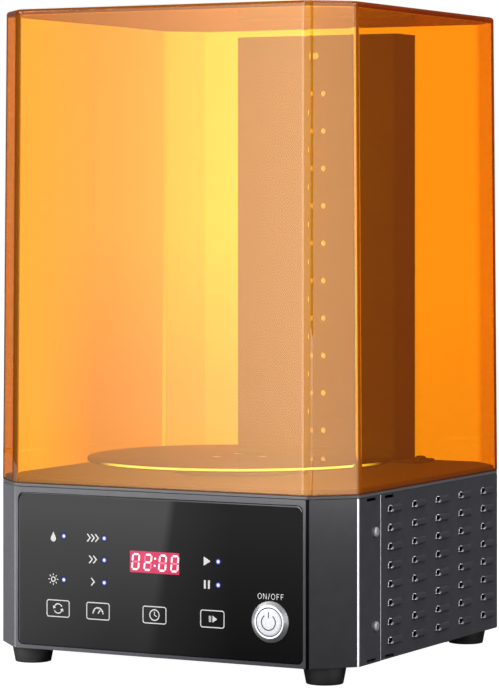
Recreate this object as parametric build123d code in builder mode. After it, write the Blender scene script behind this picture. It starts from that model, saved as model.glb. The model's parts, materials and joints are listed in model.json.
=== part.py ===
from build123d import *
from math import sqrt
import os

# Desktop resin curing station: an octagonal sheet-metal base with a touch panel, a turntable and a
# light tower on its deck, and an amber cover that lifts off. Millimetres. +Z is up, the panel faces
# -Y, and the origin is on the table under the middle of the machine.

# ---------------------------------------------------------------- driving dimensions
width = 225.0
depth = 225.0
corner_cut = 20.6  # leg of each 45 degree corner
corner_radius = 3.0  # outside bend radius of the sheet
foot_height = 10.0
casing_height = 92.0  # base plate to the top of the deck's rim
cover_height = 264.5
sheet = 1.0  # steel sheet
lip_width = 8.0  # flanges turned in at the top and bottom of the shells
rim_height = 2.0  # deck rim that shows above the shells
step_height = 3.0  # platform inside the cover
fit_gap = 0.3

casing_bottom = foot_height
casing_top = casing_bottom + casing_height
shell_top = casing_top - rim_height
deck_top = casing_top + step_height
plate_top = casing_bottom + sheet
lip_top = plate_top + sheet
front = -depth / 2
back = depth / 2
side = width / 2

# shells and their louvres
seam_y = front + 46.9
seam_gap = 0.3
shell_screw_y = seam_y - 6.0
shell_screw_heights = (29.5, 80.5)
screw_radius = 1.5
louvre_columns = 5
louvre_rows = 8
louvre_pitch_y = 31.0
louvre_pitch_z = 10.27
louvre_length = 19.0
louvre_height = 3.4
louvre_proud = 1.6
louvre_wall = 0.6
first_louvre_y = -47.0  # middle of the front column
first_louvre_z = 18.2  # lower edge of the bottom row

# control panel
glass_width = 178.0
glass_bottom = lip_top + fit_gap
glass_top = 96.7
glass_thickness = 3.0
glass_radius = 3.0
glass_front = front + 0.2
glass_back = glass_front + glass_thickness
carrier_back = glass_back + 2.8
board_front = glass_back + 7.0
board_thickness = 1.6
display_x = -1.8
display_z = 61.9
display_width = 31.0
display_height = 12.0
lamp_places = (
    (-59.6, 73.6), (-59.6, 49.4), (-33.6, 73.6), (-33.6, 61.6), (-33.6, 49.2), (37.8, 64.5), (37.8, 51.8),
)
lamp_radius = 1.5
key_z = 33.3
key_columns = (-63.3, -37.6, -1.8, 34.2)

# power button
button_x = 69.7
button_z = 33.9
bezel_radius = 11.15
barrel_radius = 9.5
button_proud = 2.2
cap_radius = 7.35
ring_outer = 8.7
ring_inner = 7.75
button_travel = 1.5

# turntable and its drive
spin_y = -17.0
disc_radius = 86.5
disc_thickness = 2.4
disc_bottom = deck_top + 6.5
disc_top = disc_bottom + disc_thickness
hub_radius = 36.0
pivot_radius = 4.0
running_gap = 0.05
magnet_radius = 5.0
magnet_circle = 25.0
magnet_count = 6
shaft_radius = 3.0
shaft_offset = 7.0  # the gearbox shaft is off the motor's middle
bracket_top = 80.0

# light tower
tower_width = 105.0
tower_depth = 25.0
tower_front = 77.1
tower_top = 358.0
tower_wall = 2.0
tower_radius = 3.0
foot_plate = 1.5
tower_bottom = deck_top + foot_plate
tower_back_y = tower_front + tower_depth
tower_middle_y = tower_front + tower_depth / 2
ear_screw_x = 62.0
led_pitch = 22.3
led_top_z = 323.3
led_column_x = 5.1
tip_led_z = 345.9

# cover
cover_wall = 3.0
cover_bend = 8.0  # outside radius of its upright edges
cover_rounding = 2.0  # round the edge of its top
cover_overhang = 0.4  # the cover's foot stands a little proud of the rim
cover_draft = 2.0  # how far each wall leans in over the whole height
cover_top = casing_top + cover_height
platform_inset = cover_wall - cover_overhang + 0.8

LOW = (Align.CENTER, Align.CENTER, Align.MIN)
HIGH = (Align.CENTER, Align.CENTER, Align.MAX)


def octagon(inset, radius=0.0):
    """Plan of the machine at a distance inside its outline, with rounded corners if asked."""
    with BuildSketch() as plan:
        Rectangle(width - 2 * inset, depth - 2 * inset)
        chamfer(plan.vertices(), corner_cut - inset * (2 - sqrt(2)))
        if radius:
            fillet(plan.vertices(), radius)
    return plan.sketch


def facing_front(y):
    """Upright plane that faces the user: its own x is X, its own y is Z."""
    return Plane(origin=(0, y, 0), x_dir=(1, 0, 0), z_dir=(0, -1, 0))


def facing_side(x, y, z):
    """Plane on a side wall, looking outwards."""
    return Plane(origin=(x, y, z), z_dir=(1 if x > 0 else -1, 0, 0))


def screw(length, head_radius, head_height, shank_radius=screw_radius):
    """Pan-head screw: its head stands on the current locations and its shank goes in behind them."""
    Cylinder(head_radius, head_height / 2, align=LOW)
    with Locations((0, 0, head_height / 2)):
        Cone(head_radius, head_radius * 0.72, head_height / 2, align=LOW)
    Cylinder(shank_radius, length, align=HIGH)


def flat_cable(plane, points, thickness, cable_width, bend):
    """Flat cable along straight runs and arcs, as wide as cable_width across its plane."""
    with BuildPart() as cable:
        with BuildSketch(plane):
            with BuildLine():
                FilletPolyline(*points, radius=bend)
            trace(line_width=thickness)
        extrude(amount=cable_width / 2, both=True)
    return cable.part


# ---------------------------------------------------------------- casing wall
# The bent wall of both shells with the lips at its top and bottom, before it is cut at the seam.
with BuildPart() as casing_wall:
    with BuildSketch(Plane.XY.offset(casing_bottom)):
        add(octagon(0, corner_radius))
        add(octagon(sheet, corner_radius - sheet), mode=Mode.SUBTRACT)
    extrude(amount=shell_top - casing_bottom)
    with BuildSketch(Plane.XY.offset(plate_top), Plane.XY.offset(shell_top - sheet)):
        add(octagon(sheet / 2))
        add(octagon(sheet + lip_width), mode=Mode.SUBTRACT)
    extrude(amount=sheet)

# ---------------------------------------------------------------- front shell
# One folded sheet: the frame round the glass, both front corners and a flange down each side.
window_bottom = glass_bottom - fit_gap
window_top = glass_top + fit_gap
window_z = (window_bottom + window_top) / 2
relief_y = seam_y - 11.4
relief_length = 11.0
relief_height = 1.6
lip_screw_inset = 6.0
lip_screw_places = [
    (x, y) for x in (-side + lip_screw_inset, side - lip_screw_inset) for y in (-82, 30)
] + [(x, back - lip_screw_inset) for x in (-60, 60)]

with BuildPart() as front_shell:
    add(casing_wall.part)
    with BuildSketch(Plane.XY):
        with Locations((0, (seam_y - seam_gap / 2 + back + 1) / 2)):
            Rectangle(width + 2, back + 1 - seam_y + seam_gap / 2)
    extrude(amount=casing_top, mode=Mode.SUBTRACT)
    with BuildSketch(facing_front(front - 1)):
        with Locations((0, window_z)):
            RectangleRounded(
                glass_width + 2 * fit_gap, window_top - window_bottom, glass_radius + fit_gap
            )
    extrude(amount=-(sheet + 1.2), mode=Mode.SUBTRACT)
    # relief slots at the ends of the lips, and holes for the screws that join the shells
    with BuildSketch(Plane.YZ.offset(-side - 1)):
        with Locations((relief_y, shell_top - 1.6), (relief_y, casing_bottom + 1.6)):
            SlotOverall(relief_length, relief_height)
        with Locations(*[(shell_screw_y, z) for z in shell_screw_heights]):
            Circle(screw_radius + 0.2)
    extrude(amount=width + 2, mode=Mode.SUBTRACT)
    with BuildSketch(Plane.XY.offset(casing_bottom)):
        with Locations(*lip_screw_places):
            Circle(screw_radius)
    extrude(amount=casing_top, mode=Mode.SUBTRACT)
front_shell.part.label = "front_shell"

# ---------------------------------------------------------------- rear shell
# The louvred sides, both rear corners and the back in one sheet. A tongue down each side reaches
# behind the front shell's flange and takes its screws.
tongue_length = 13.0
tongue_bottom = lip_top + 2
tongue_top = shell_top - sheet - 2
hood_slope = louvre_proud * 1.5  # run of the slope at each end of a hood
inlet_x = -75.0
inlet_z = 32.0
inlet_radius = 5.5


def hood_section(inset, into_sheet):
    """Section of a hood: it leaves the sheet at the top and stands proud at its lower edge."""
    proud = louvre_proud - inset
    height = louvre_height - inset
    with BuildSketch() as section:
        with BuildLine():
            ThreePointArc((0, height), (proud * 0.78, height * 0.56), (proud, 0))
            Polyline((proud, 0), (-into_sheet, 0), (-into_sheet, height), (0, height))
        make_face()
    return section.sketch


def hood_plan(inset, into_sheet):
    """The same hood from above: straight along the sheet, sloped down to it at both ends."""
    half = louvre_length / 2 - inset * 1.5
    proud = louvre_proud - inset
    with BuildSketch() as plan:
        Polygon(
            (-into_sheet, -half), (0, -half), (proud, -half + hood_slope),
            (proud, half - hood_slope), (0, half), (-into_sheet, half), align=None,
        )
    return plan.sketch


with BuildPart() as hood:
    with BuildSketch(Plane.XZ):
        add(hood_section(0, sheet / 2))
    extrude(amount=louvre_length / 2, both=True)
    with BuildSketch(Plane.XY):
        add(hood_plan(0, sheet / 2))
    extrude(amount=louvre_height, mode=Mode.INTERSECT)

with BuildPart() as hood_space:
    with BuildSketch(Plane.XZ):
        add(hood_section(louvre_wall, sheet * 1.5))
    extrude(amount=louvre_length / 2, both=True)
    with BuildSketch(Plane.XY):
        add(hood_plan(louvre_wall, sheet * 1.5))
    extrude(amount=louvre_height, mode=Mode.INTERSECT)

right_louvres = [
    Location((side, first_louvre_y + louvre_pitch_y * column, first_louvre_z + louvre_pitch_z * row))
    for column in range(louvre_columns) for row in range(louvre_rows)
]
left_louvres = [
    Location((-side, place.position.Y, place.position.Z), (0, 0, 180)) for place in right_louvres
]

with BuildPart() as rear_shell:
    add(casing_wall.part)
    with BuildSketch(Plane.XY):
        with Locations((0, (front - 1 + seam_y + seam_gap / 2) / 2)):
            Rectangle(width + 2, seam_y + seam_gap / 2 - front + 1)
    extrude(amount=casing_top, mode=Mode.SUBTRACT)
    with BuildSketch(Plane.XY.offset(tongue_bottom)):
        for x in (-side + 1.5 * sheet, side - 1.5 * sheet):
            with Locations((x, seam_y)):
                Rectangle(sheet, 2 * tongue_length)
    extrude(amount=tongue_top - tongue_bottom)
    with Locations(*right_louvres, *left_louvres):
        add(hood.part)
        add(hood_space.part, mode=Mode.SUBTRACT)
    with BuildSketch(Plane.YZ.offset(-side - 1)):
        with Locations(*[(shell_screw_y, z) for z in shell_screw_heights]):
            Circle(screw_radius + 0.05)
    extrude(amount=width + 2, mode=Mode.SUBTRACT)
    with BuildSketch(Plane.XY.offset(casing_bottom)):
        with Locations(*lip_screw_places):
            Circle(screw_radius)
    extrude(amount=casing_top, mode=Mode.SUBTRACT)
    with BuildSketch(facing_front(back + 1)):
        with Locations((inlet_x, inlet_z)):
            Circle(inlet_radius + 0.1)
    extrude(amount=sheet + 2, mode=Mode.SUBTRACT)
    # relief slots at the front ends of the lips
    with BuildSketch(Plane.YZ.offset(-side - 1)):
        with Locations((seam_y + 11, shell_top - 1.6), (seam_y + 11, casing_bottom + 1.6)):
            SlotOverall(relief_length, relief_height)
    extrude(amount=width + 2, mode=Mode.SUBTRACT)
rear_shell.part.label = "rear_shell"

with BuildPart() as shell_screws:
    with Locations(*[
        facing_side(x, shell_screw_y, z) for x in (-side, side) for z in shell_screw_heights
    ]):
        screw(6, 2.7, 1.6)
shell_screws.part.label = "shell_screws"

# ---------------------------------------------------------------- base plate and feet
foot_place = 92.0
foot_top_radius = 11.9
foot_bottom_radius = 10.2
foot_bore = 4.5
foot_floor = 3.5  # rubber left above the screw's recess
vent_slot = 26.0

with BuildPart() as base_plate:
    with BuildSketch(Plane.XY.offset(casing_bottom)):
        add(octagon(sheet + 0.2, corner_radius - sheet))
        with Locations(*[(sx * foot_place, sy * foot_place) for sx in (-1, 1) for sy in (-1, 1)]):
            Circle(screw_radius + 0.5, mode=Mode.SUBTRACT)
        with Locations(*lip_screw_places):
            Circle(screw_radius + 0.2, mode=Mode.SUBTRACT)
        with Locations((62, 10)):
            with GridLocations(vent_slot + 6, 8, 1, 8):
                SlotOverall(vent_slot, 3, mode=Mode.SUBTRACT)
    extrude(amount=sheet)
base_plate.part.label = "base_plate"

with BuildPart() as base_screws:
    with Locations(*[
        Plane(origin=(x, y, casing_bottom), z_dir=(0, 0, -1)) for x, y in lip_screw_places
    ]):
        screw(4, 2.7, 1.4, screw_radius - 0.05)
base_screws.part.label = "base_screws"

with BuildPart() as rubber_feet:
    with Locations(*[(sx * foot_place, sy * foot_place, 0) for sx in (-1, 1) for sy in (-1, 1)]):
        Cone(foot_bottom_radius - 0.8, foot_bottom_radius, 0.8, align=LOW)
        with Locations((0, 0, 0.8)):
            Cone(foot_bottom_radius, foot_top_radius, foot_height - 0.8, align=LOW)
        Cylinder(foot_bore, foot_height - foot_floor, align=LOW, mode=Mode.SUBTRACT)
        Cylinder(screw_radius + 0.5, foot_height, align=LOW, mode=Mode.SUBTRACT)
rubber_feet.part.label = "rubber_feet"

with BuildPart() as foot_screws:
    with Locations(*[
        Plane(origin=(sx * foot_place, sy * foot_place, foot_height - foot_floor), z_dir=(0, 0, -1))
        for sx in (-1, 1) for sy in (-1, 1)
    ]):
        screw(foot_floor + 5, 3.6, 2.2, screw_radius + 0.4)
foot_screws.part.label = "foot_screws"

with BuildPart() as foot_nuts:
    with BuildSketch(Plane.XY.offset(plate_top)):
        with Locations(*[(sx * foot_place, sy * foot_place) for sx in (-1, 1) for sy in (-1, 1)]):
            RegularPolygon(3.5, 6, major_radius=False)
            Circle(screw_radius + 0.45, mode=Mode.SUBTRACT)
    extrude(amount=3)
foot_nuts.part.label = "foot_nuts"

# ---------------------------------------------------------------- deck plate
# The rim shows above the shells and carries the cover; the platform stands up inside the cover.
deck_skin = 3.0
screw_boss = 4.5
grommet_y = 90.0
grommet_radius = 6.0
base_recess = 0.5

with BuildPart() as deck_plate:
    with BuildSketch(Plane.XY.offset(shell_top)):
        add(octagon(0, corner_radius))
    extrude(amount=rim_height)
    chamfer(deck_plate.faces().sort_by(Axis.Z)[-1].edges(), 0.5)
    with BuildSketch(Plane.XY.offset(casing_top)):
        add(octagon(platform_inset, cover_bend - cover_wall))
    extrude(amount=step_height)
    chamfer(deck_plate.faces().sort_by(Axis.Z)[-1].edges(), 0.8)
    with BuildSketch(Plane.XY.offset(shell_top)):
        add(octagon(sheet + lip_width + 2))
    extrude(amount=rim_height, mode=Mode.SUBTRACT)
    # bosses for the tower's screws
    with Locations((-ear_screw_x, tower_middle_y, casing_top), (ear_screw_x, tower_middle_y, casing_top)):
        Cylinder(screw_boss, 8, align=HIGH)
    with Locations((-ear_screw_x, tower_middle_y, deck_top), (ear_screw_x, tower_middle_y, deck_top)):
        Cylinder(screw_radius + 0.05, 10, align=HIGH, mode=Mode.SUBTRACT)
    # shallow seat for the turntable's base, and the way through for the lamp's lead
    with Locations((0, spin_y, deck_top)):
        Cylinder(hub_radius + 2 + fit_gap, base_recess, align=HIGH, mode=Mode.SUBTRACT)
    with Locations((0, grommet_y, deck_top)):
        Cylinder(grommet_radius, deck_skin, align=HIGH, mode=Mode.SUBTRACT)
    # blind holes for the screws that come up through the shells' lips
    with Locations(*[(x, y, shell_top) for x, y in lip_screw_places]):
        Cylinder(screw_radius, 3.6, align=LOW, mode=Mode.SUBTRACT)
deck_plate.part.label = "deck_plate"

with BuildPart() as deck_screws:
    with Locations(*[
        Plane(origin=(x, y, shell_top - sheet), z_dir=(0, 0, -1)) for x, y in lip_screw_places
    ]):
        screw(4, 2.7, 1.6, screw_radius - 0.05)
deck_screws.part.label = "deck_screws"

# ---------------------------------------------------------------- control panel
# Printed glass bonded to a moulded carrier that fills the window from behind.
carrier_half_width = 90.5
pad_width = 12.0
pad_height = 7.5
display_body = (display_width + 0.6, display_height + 0.8)
board_left = -78.0
board_right = 51.0
board_low = 24.0
board_high = 82.0
board_corners = [(x, z) for x in (board_left + 4, board_right - 4) for z in (board_low + 4, board_high - 4)]
button_hole = barrel_radius + 0.2

with BuildPart() as touch_glass:
    with BuildSketch(facing_front(glass_back)):
        with Locations((0, (glass_bottom + glass_top) / 2)):
            RectangleRounded(glass_width, glass_top - glass_bottom, glass_radius)
        with Locations((button_x, button_z)):
            Circle(button_hole, mode=Mode.SUBTRACT)
    extrude(amount=glass_thickness)
    chamfer(touch_glass.faces().sort_by(Axis.Y)[0].outer_wire().edges(), 0.4)
touch_glass.part.label = "touch_glass"

with BuildPart() as panel_carrier:
    with BuildSketch(facing_front(carrier_back)):
        with Locations((0, (lip_top + shell_top - sheet - 0.2) / 2)):
            Rectangle(2 * carrier_half_width, shell_top - sheet - 0.2 - lip_top)
        with Locations((display_x, display_z)):
            Rectangle(display_body[0] + 0.8, display_body[1] + 0.8, mode=Mode.SUBTRACT)
        with Locations(*lamp_places):
            Circle(lamp_radius + 0.2, mode=Mode.SUBTRACT)
        with Locations(*[(x, key_z) for x in key_columns]):
            Rectangle(pad_width + 0.8, pad_height + 0.8, mode=Mode.SUBTRACT)
        with Locations((button_x, button_z)):
            Circle(button_hole, mode=Mode.SUBTRACT)
    extrude(amount=carrier_back - front - sheet)
    # pocket for the glass, open at the bottom where the frame is only a lip high
    with BuildSketch(facing_front(glass_back)):
        with Locations((0, (lip_top + window_top) / 2)):
            Rectangle(glass_width + 2 * fit_gap, window_top - lip_top + 0.02)
    extrude(amount=glass_thickness, mode=Mode.SUBTRACT)
    # standoffs for the touch board, and ribs between them
    with BuildSketch(facing_front(board_front)):
        with Locations(*board_corners):
            Circle(3.2)
    extrude(amount=board_front - carrier_back)
    with BuildSketch(facing_front(carrier_back + 2)):
        with Locations(((board_left + board_right) / 2, board_high - 4)):
            Rectangle(board_right - board_left - 8, 1.2)
        with Locations((carrier_half_width - 1.5, window_z), (1.5 - carrier_half_width, window_z)):
            Rectangle(1.2, 70)
    extrude(amount=2)
    with BuildSketch(facing_front(board_front)):
        with Locations(*board_corners):
            Circle(1.1)
    extrude(amount=board_front - carrier_back, mode=Mode.SUBTRACT)
panel_carrier.part.label = "panel_carrier"

with BuildPart() as touch_board:
    with BuildSketch(facing_front(board_front + board_thickness)):
        with Locations(((board_left + board_right) / 2, (board_low + board_high) / 2)):
            RectangleRounded(board_right - board_left, board_high - board_low, 2)
        with Locations(*board_corners):
            Circle(1.2, mode=Mode.SUBTRACT)
    extrude(amount=board_thickness)
touch_board.part.label = "touch_board"

with BuildPart() as board_screws:
    with Locations(*[
        Plane(origin=(x, board_front + board_thickness, z), z_dir=(0, 1, 0)) for x, z in board_corners
    ]):
        screw(board_thickness + 3, 2.2, 1.4, 1.05)
board_screws.part.label = "board_screws"

with BuildPart() as display_module:
    with BuildSketch(facing_front(board_front)):
        with Locations((display_x, display_z)):
            Rectangle(*display_body)
    extrude(amount=board_front - glass_back - 0.1)
    with BuildSketch(facing_front(glass_back + 0.1)):
        with Locations((display_x, display_z)):
            Rectangle(display_width, display_height)
    extrude(amount=-0.4, mode=Mode.SUBTRACT)
display_module.part.label = "display_module"

with BuildPart() as indicator_lamps:
    with Locations(*[Plane(origin=(x, board_front, z), z_dir=(0, -1, 0)) for x, z in lamp_places]):
        Cylinder(lamp_radius, board_front - glass_back - 0.8, align=LOW)
        with Locations((0, 0, board_front - glass_back - 0.8)):
            Cone(lamp_radius, lamp_radius * 0.6, 0.7, align=LOW)
indicator_lamps.part.label = "indicator_lamps"

with BuildPart() as touch_pads:
    with BuildSketch(facing_front(board_front)):
        with Locations(*[(x, key_z) for x in key_columns]):
            RectangleRounded(pad_width, pad_height, 1.5)
    extrude(amount=board_front - glass_back)
touch_pads.part.label = "touch_pads"

# ---------------------------------------------------------------- power button
# Standard metal push-button for a 19 mm hole: bevelled bezel, light ring, lit cap, spring and nut.
button_axis_plane = Plane(origin=(button_x, glass_front, button_z), z_dir=(0, -1, 0))
cap_bore = ring_inner
floor_depth = 9.0  # from the glass to the button's inner floor
floor_thickness = 2.0
body_depth = 22.0
stem_radius = 3.0
cap_depth = 5.2
spring_wire = 0.6
spring_radius = 5.2
nut_thickness = 4.0
nut_flats = 24.0
contact_depth = 14.0


def turned(plane, points):
    """Solid turned about the plane's Z from a half profile of (radius, height) points."""
    with BuildPart() as blank:
        with BuildSketch(Plane.XZ):
            Polygon(*points, align=None)
        revolve(axis=Axis.Z)
    return plane.location * blank.part


button_housing_profile = (
    (ring_outer, button_proud), (bezel_radius, 0.6), (bezel_radius, 0), (barrel_radius, 0),
    (barrel_radius, -body_depth), (barrel_radius - 1.6, -body_depth),
    (barrel_radius - 1.6, -floor_depth - floor_thickness),
    (stem_radius + 0.3, -floor_depth - floor_thickness), (stem_radius + 0.3, -floor_depth),
    (cap_bore, -floor_depth), (cap_bore, button_proud - 2), (ring_outer, button_proud - 2),
)
with BuildPart() as button_housing:
    add(turned(button_axis_plane, button_housing_profile))
button_housing.part.label = "button_housing"

button_ring_profile = (
    (ring_inner, button_proud - 2), (ring_outer, button_proud - 2),
    (ring_outer, button_proud), (ring_inner, button_proud),
)
with BuildPart() as button_ring:
    add(turned(button_axis_plane, button_ring_profile))
button_ring.part.label = "button_ring"

cap_base = button_proud - cap_depth
stem_end = -floor_depth - floor_thickness - 1.0
button_cap_profile = (
    (0, button_proud + 0.3), (cap_radius * 0.6, button_proud + 0.2), (cap_radius - 0.4, button_proud),
    (cap_radius, button_proud - 0.4), (cap_radius, cap_base), (stem_radius, cap_base),
    (stem_radius, stem_end), (0, stem_end),
)
with BuildPart() as button_cap:
    add(turned(button_axis_plane, button_cap_profile))
button_cap.part.label = "button_cap"

spring_length = floor_depth + cap_base
with BuildPart() as button_spring:
    with BuildLine():
        Helix(pitch=(spring_length - 2 * spring_wire) / 3, height=spring_length - 2 * spring_wire,
              radius=spring_radius)
    with BuildSketch(Plane(origin=(spring_radius, 0, 0), x_dir=(1, 0, 0), z_dir=(0, 1, 0))):
        Rectangle(spring_wire, spring_wire)
    sweep(is_frenet=True)
button_spring.part = Plane(
    origin=(button_x, glass_front + floor_depth - spring_wire, button_z), z_dir=(0, -1, 0)
).location * button_spring.part
button_spring.part.label = "button_spring"

with BuildPart() as button_nut:
    with BuildSketch(facing_front(carrier_back + nut_thickness)):
        with Locations((button_x, button_z)):
            RegularPolygon(nut_flats / 2, 6, major_radius=False)
            Circle(barrel_radius + 0.05, mode=Mode.SUBTRACT)
    extrude(amount=nut_thickness)
button_nut.part.label = "button_nut"

with BuildPart() as button_contacts:
    with Locations(Plane(origin=(button_x, glass_front + contact_depth, button_z), z_dir=(0, 1, 0))):
        Cylinder(barrel_radius - 1.65, body_depth - contact_depth + 1, align=LOW)
        with Locations((0, 0, body_depth - contact_depth + 1)):
            with GridLocations(6, 6, 2, 2):
                Box(2.8, 0.8, 6, align=LOW)
button_contacts.part.label = "button_contacts"

# ---------------------------------------------------------------- main board and inlet
pcb_left = -104.0
pcb_right = -46.0
pcb_front = -44.0
pcb_rear = 88.0
pcb_bottom = plate_top + 10.0
pcb_top = pcb_bottom + board_thickness
pcb_x = (pcb_left + pcb_right) / 2
pcb_y = (pcb_front + pcb_rear) / 2
pcb_corners = [(x, y) for x in (pcb_left + 5, pcb_right - 5) for y in (pcb_front + 5, pcb_rear - 14)]
panel_plug_x = -70.0
motor_plug_y = spin_y + shaft_offset
lamp_plug = (-60.0, 60.0)

with BuildPart() as main_board:
    with BuildSketch(Plane.XY.offset(pcb_bottom)):
        with Locations((pcb_x, pcb_y)):
            Rectangle(pcb_right - pcb_left, pcb_rear - pcb_front)
        with Locations(*pcb_corners):
            Circle(screw_radius + 0.1, mode=Mode.SUBTRACT)
    extrude(amount=board_thickness)
main_board.part.label = "main_board"

with BuildPart() as board_standoffs:
    with BuildSketch(Plane.XY.offset(plate_top)):
        with Locations(*pcb_corners):
            RegularPolygon(2.75, 6, major_radius=False)
    extrude(amount=pcb_bottom - plate_top)
    with Locations(*[(x, y, pcb_bottom) for x, y in pcb_corners]):
        Cylinder(screw_radius - 0.2, 6, align=HIGH, mode=Mode.SUBTRACT)
board_standoffs.part.label = "board_standoffs"

with BuildPart() as main_board_screws:
    with Locations(*[(x, y, pcb_top) for x, y in pcb_corners]):
        screw(board_thickness + 4, 2.7, 1.6, screw_radius - 0.25)
main_board_screws.part.label = "main_board_screws"

# plugs for the three leads, lamp driver with its heat spreader, capacitors, coil and sounder
with BuildPart() as board_components:
    with Locations((panel_plug_x, pcb_front + 6, pcb_top), (inlet_x, pcb_rear - 4, pcb_top)):
        Box(18, 8, 8, align=LOW)
    with Locations((pcb_right - 4, motor_plug_y, pcb_top), (lamp_plug[0], lamp_plug[1], pcb_top)):
        Box(8, 10, 7, align=LOW)
    with Locations((-84, 40, pcb_top)):
        Box(22, 30, 3, align=LOW)
        with GridLocations(4, 1, 5, 1):
            Box(1.4, 30, 14, align=LOW)
    with Locations((-94, 8, pcb_top), (-82, 8, pcb_top)):
        Cylinder(5, 16, align=LOW)
    with Locations((-62, 20, pcb_top)):
        Cylinder(6, 8, align=LOW)
    with Locations((-92, -14, pcb_top)):
        Box(12, 12, 7, align=LOW)
    with Locations((-68, -8, pcb_top)):
        Box(12, 12, 1.6, align=LOW)
board_components.part.label = "board_components"

inlet_proud = button_proud + 0.1
inlet_depth = 11.0  # of the body behind the wall
socket_radius = 3.2
socket_depth = 9.5
inlet_axis_plane = Plane(origin=(inlet_x, back, inlet_z), z_dir=(0, 1, 0))

with BuildPart() as dc_inlet:
    with Locations(inlet_axis_plane):
        Cylinder(inlet_radius + 2, inlet_proud, align=LOW)
        Cylinder(inlet_radius, inlet_depth, align=HIGH)
        with Locations((0, 0, inlet_proud)):
            Cylinder(socket_radius, socket_depth, align=HIGH, mode=Mode.SUBTRACT)
dc_inlet.part.label = "dc_inlet"

with BuildPart() as inlet_pin:
    with Locations(inlet_axis_plane):
        with Locations((0, 0, inlet_proud - socket_depth)):
            Cylinder(1.05, socket_depth - 1, align=LOW)
inlet_pin.part.label = "inlet_pin"

with BuildPart() as inlet_tabs:
    with Locations(inlet_axis_plane):
        with Locations((0, 0, -inlet_depth)):
            with GridLocations(5, 0, 2, 1):
                Box(0.8, 2.4, 3, align=HIGH)
inlet_tabs.part.label = "inlet_tabs"

with BuildPart() as inlet_nut:
    with BuildSketch(facing_front(back - sheet)):
        with Locations((inlet_x, inlet_z)):
            RegularPolygon(7.5, 6, major_radius=False)
            Circle(inlet_radius + 0.05, mode=Mode.SUBTRACT)
    extrude(amount=2.5)
inlet_nut.part.label = "inlet_nut"

# ---------------------------------------------------------------- motor on its bracket
motor_y = spin_y + shaft_offset
bracket_sheet = 2.0
bracket_half = 34.0
bracket_foot = 13.0
bracket_length = 60.0
gearbox_radius = 18.5
gearbox_top = bracket_top - bracket_sheet
gearbox_bottom = gearbox_top - 24
gearbox_boss = 6.0
can_radius = 17.0
can_bottom = gearbox_bottom - 28
motor_screw_circle = 15.5
motor_screw_places = PolarLocations(motor_screw_circle, 4, start_angle=45).locations

with BuildPart() as motor_bracket:
    with BuildSketch(Plane.XZ.offset(-motor_y)):
        with BuildLine():
            FilletPolyline(
                (-bracket_half - bracket_foot, plate_top + bracket_sheet / 2),
                (-bracket_half, plate_top + bracket_sheet / 2),
                (-bracket_half, bracket_top - bracket_sheet / 2),
                (bracket_half, bracket_top - bracket_sheet / 2),
                (bracket_half, plate_top + bracket_sheet / 2),
                (bracket_half + bracket_foot, plate_top + bracket_sheet / 2),
                radius=2.5,
            )
        trace(line_width=bracket_sheet)
    extrude(amount=bracket_length / 2, both=True)
    with Locations((0, spin_y, bracket_top)):
        Cylinder(gearbox_boss + 0.6, bracket_sheet * 3, mode=Mode.SUBTRACT)
    with Locations((0, motor_y, bracket_top)):
        with PolarLocations(motor_screw_circle, 4, start_angle=45):
            Cylinder(screw_radius + 0.1, bracket_sheet * 3, mode=Mode.SUBTRACT)
        with GridLocations(2 * bracket_half + 18, 44, 2, 2):
            with Locations((0, 0, plate_top - bracket_top)):
                Cylinder(screw_radius + 0.1, bracket_sheet * 3, mode=Mode.SUBTRACT)
    with BuildSketch(Plane.YZ.offset(-bracket_half)):
        with Locations((motor_y, 17)):
            SlotOverall(12, 6)
    extrude(amount=2, both=True, mode=Mode.SUBTRACT)
motor_bracket.part.label = "motor_bracket"

with BuildPart() as bracket_screws:
    with Locations((0, motor_y, plate_top + bracket_sheet)):
        with GridLocations(2 * bracket_half + 18, 44, 2, 2):
            screw(bracket_sheet - 0.1, 2.7, 1.8)
bracket_screws.part.label = "bracket_screws"

with BuildPart() as drive_motor:
    with Locations((0, motor_y, gearbox_bottom)):
        Cylinder(gearbox_radius, gearbox_top - gearbox_bottom, align=LOW)
        Cylinder(can_radius, gearbox_bottom - can_bottom, align=HIGH)
    with Locations((0, motor_y, can_bottom)):
        Cylinder(6, 2.5, align=HIGH)
        with GridLocations(22, 0, 2, 1):
            Box(2.8, 0.6, 5, align=HIGH)
    with Locations((0, spin_y, gearbox_top)):
        Cylinder(gearbox_boss, bracket_sheet + 3, align=LOW)
    with Locations((0, spin_y, bracket_top + 3)):
        Cylinder(shaft_radius + running_gap, 22, align=HIGH, mode=Mode.SUBTRACT)
    with Locations((0, motor_y, gearbox_top)):
        with PolarLocations(motor_screw_circle, 4, start_angle=45):
            Cylinder(screw_radius + 0.05, 4, align=HIGH, mode=Mode.SUBTRACT)
drive_motor.part.label = "drive_motor"

with BuildPart() as motor_screws:
    with Locations((0, motor_y, bracket_top)):
        with PolarLocations(motor_screw_circle, 4, start_angle=45):
            screw(bracket_sheet + 3.5, 2.4, 1.6)
motor_screws.part.label = "motor_screws"

# ---------------------------------------------------------------- drive shaft and magnet carrier
carrier_bottom = bracket_top + 6.5
carrier_disc = carrier_bottom + 6
carrier_top = carrier_disc + 5
magnet_height = 3.5
shaft_bottom = bracket_top - 18

with BuildPart() as drive_shaft:
    with Locations((0, spin_y, shaft_bottom)):
        Cylinder(shaft_radius, carrier_top - 1 - shaft_bottom, align=LOW)
    with Locations((shaft_radius - 0.5, spin_y, carrier_bottom)):
        Box(2, 2 * shaft_radius, carrier_top, align=(Align.MIN, Align.CENTER, Align.MIN), mode=Mode.SUBTRACT)
drive_shaft.part.label = "drive_shaft"

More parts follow.
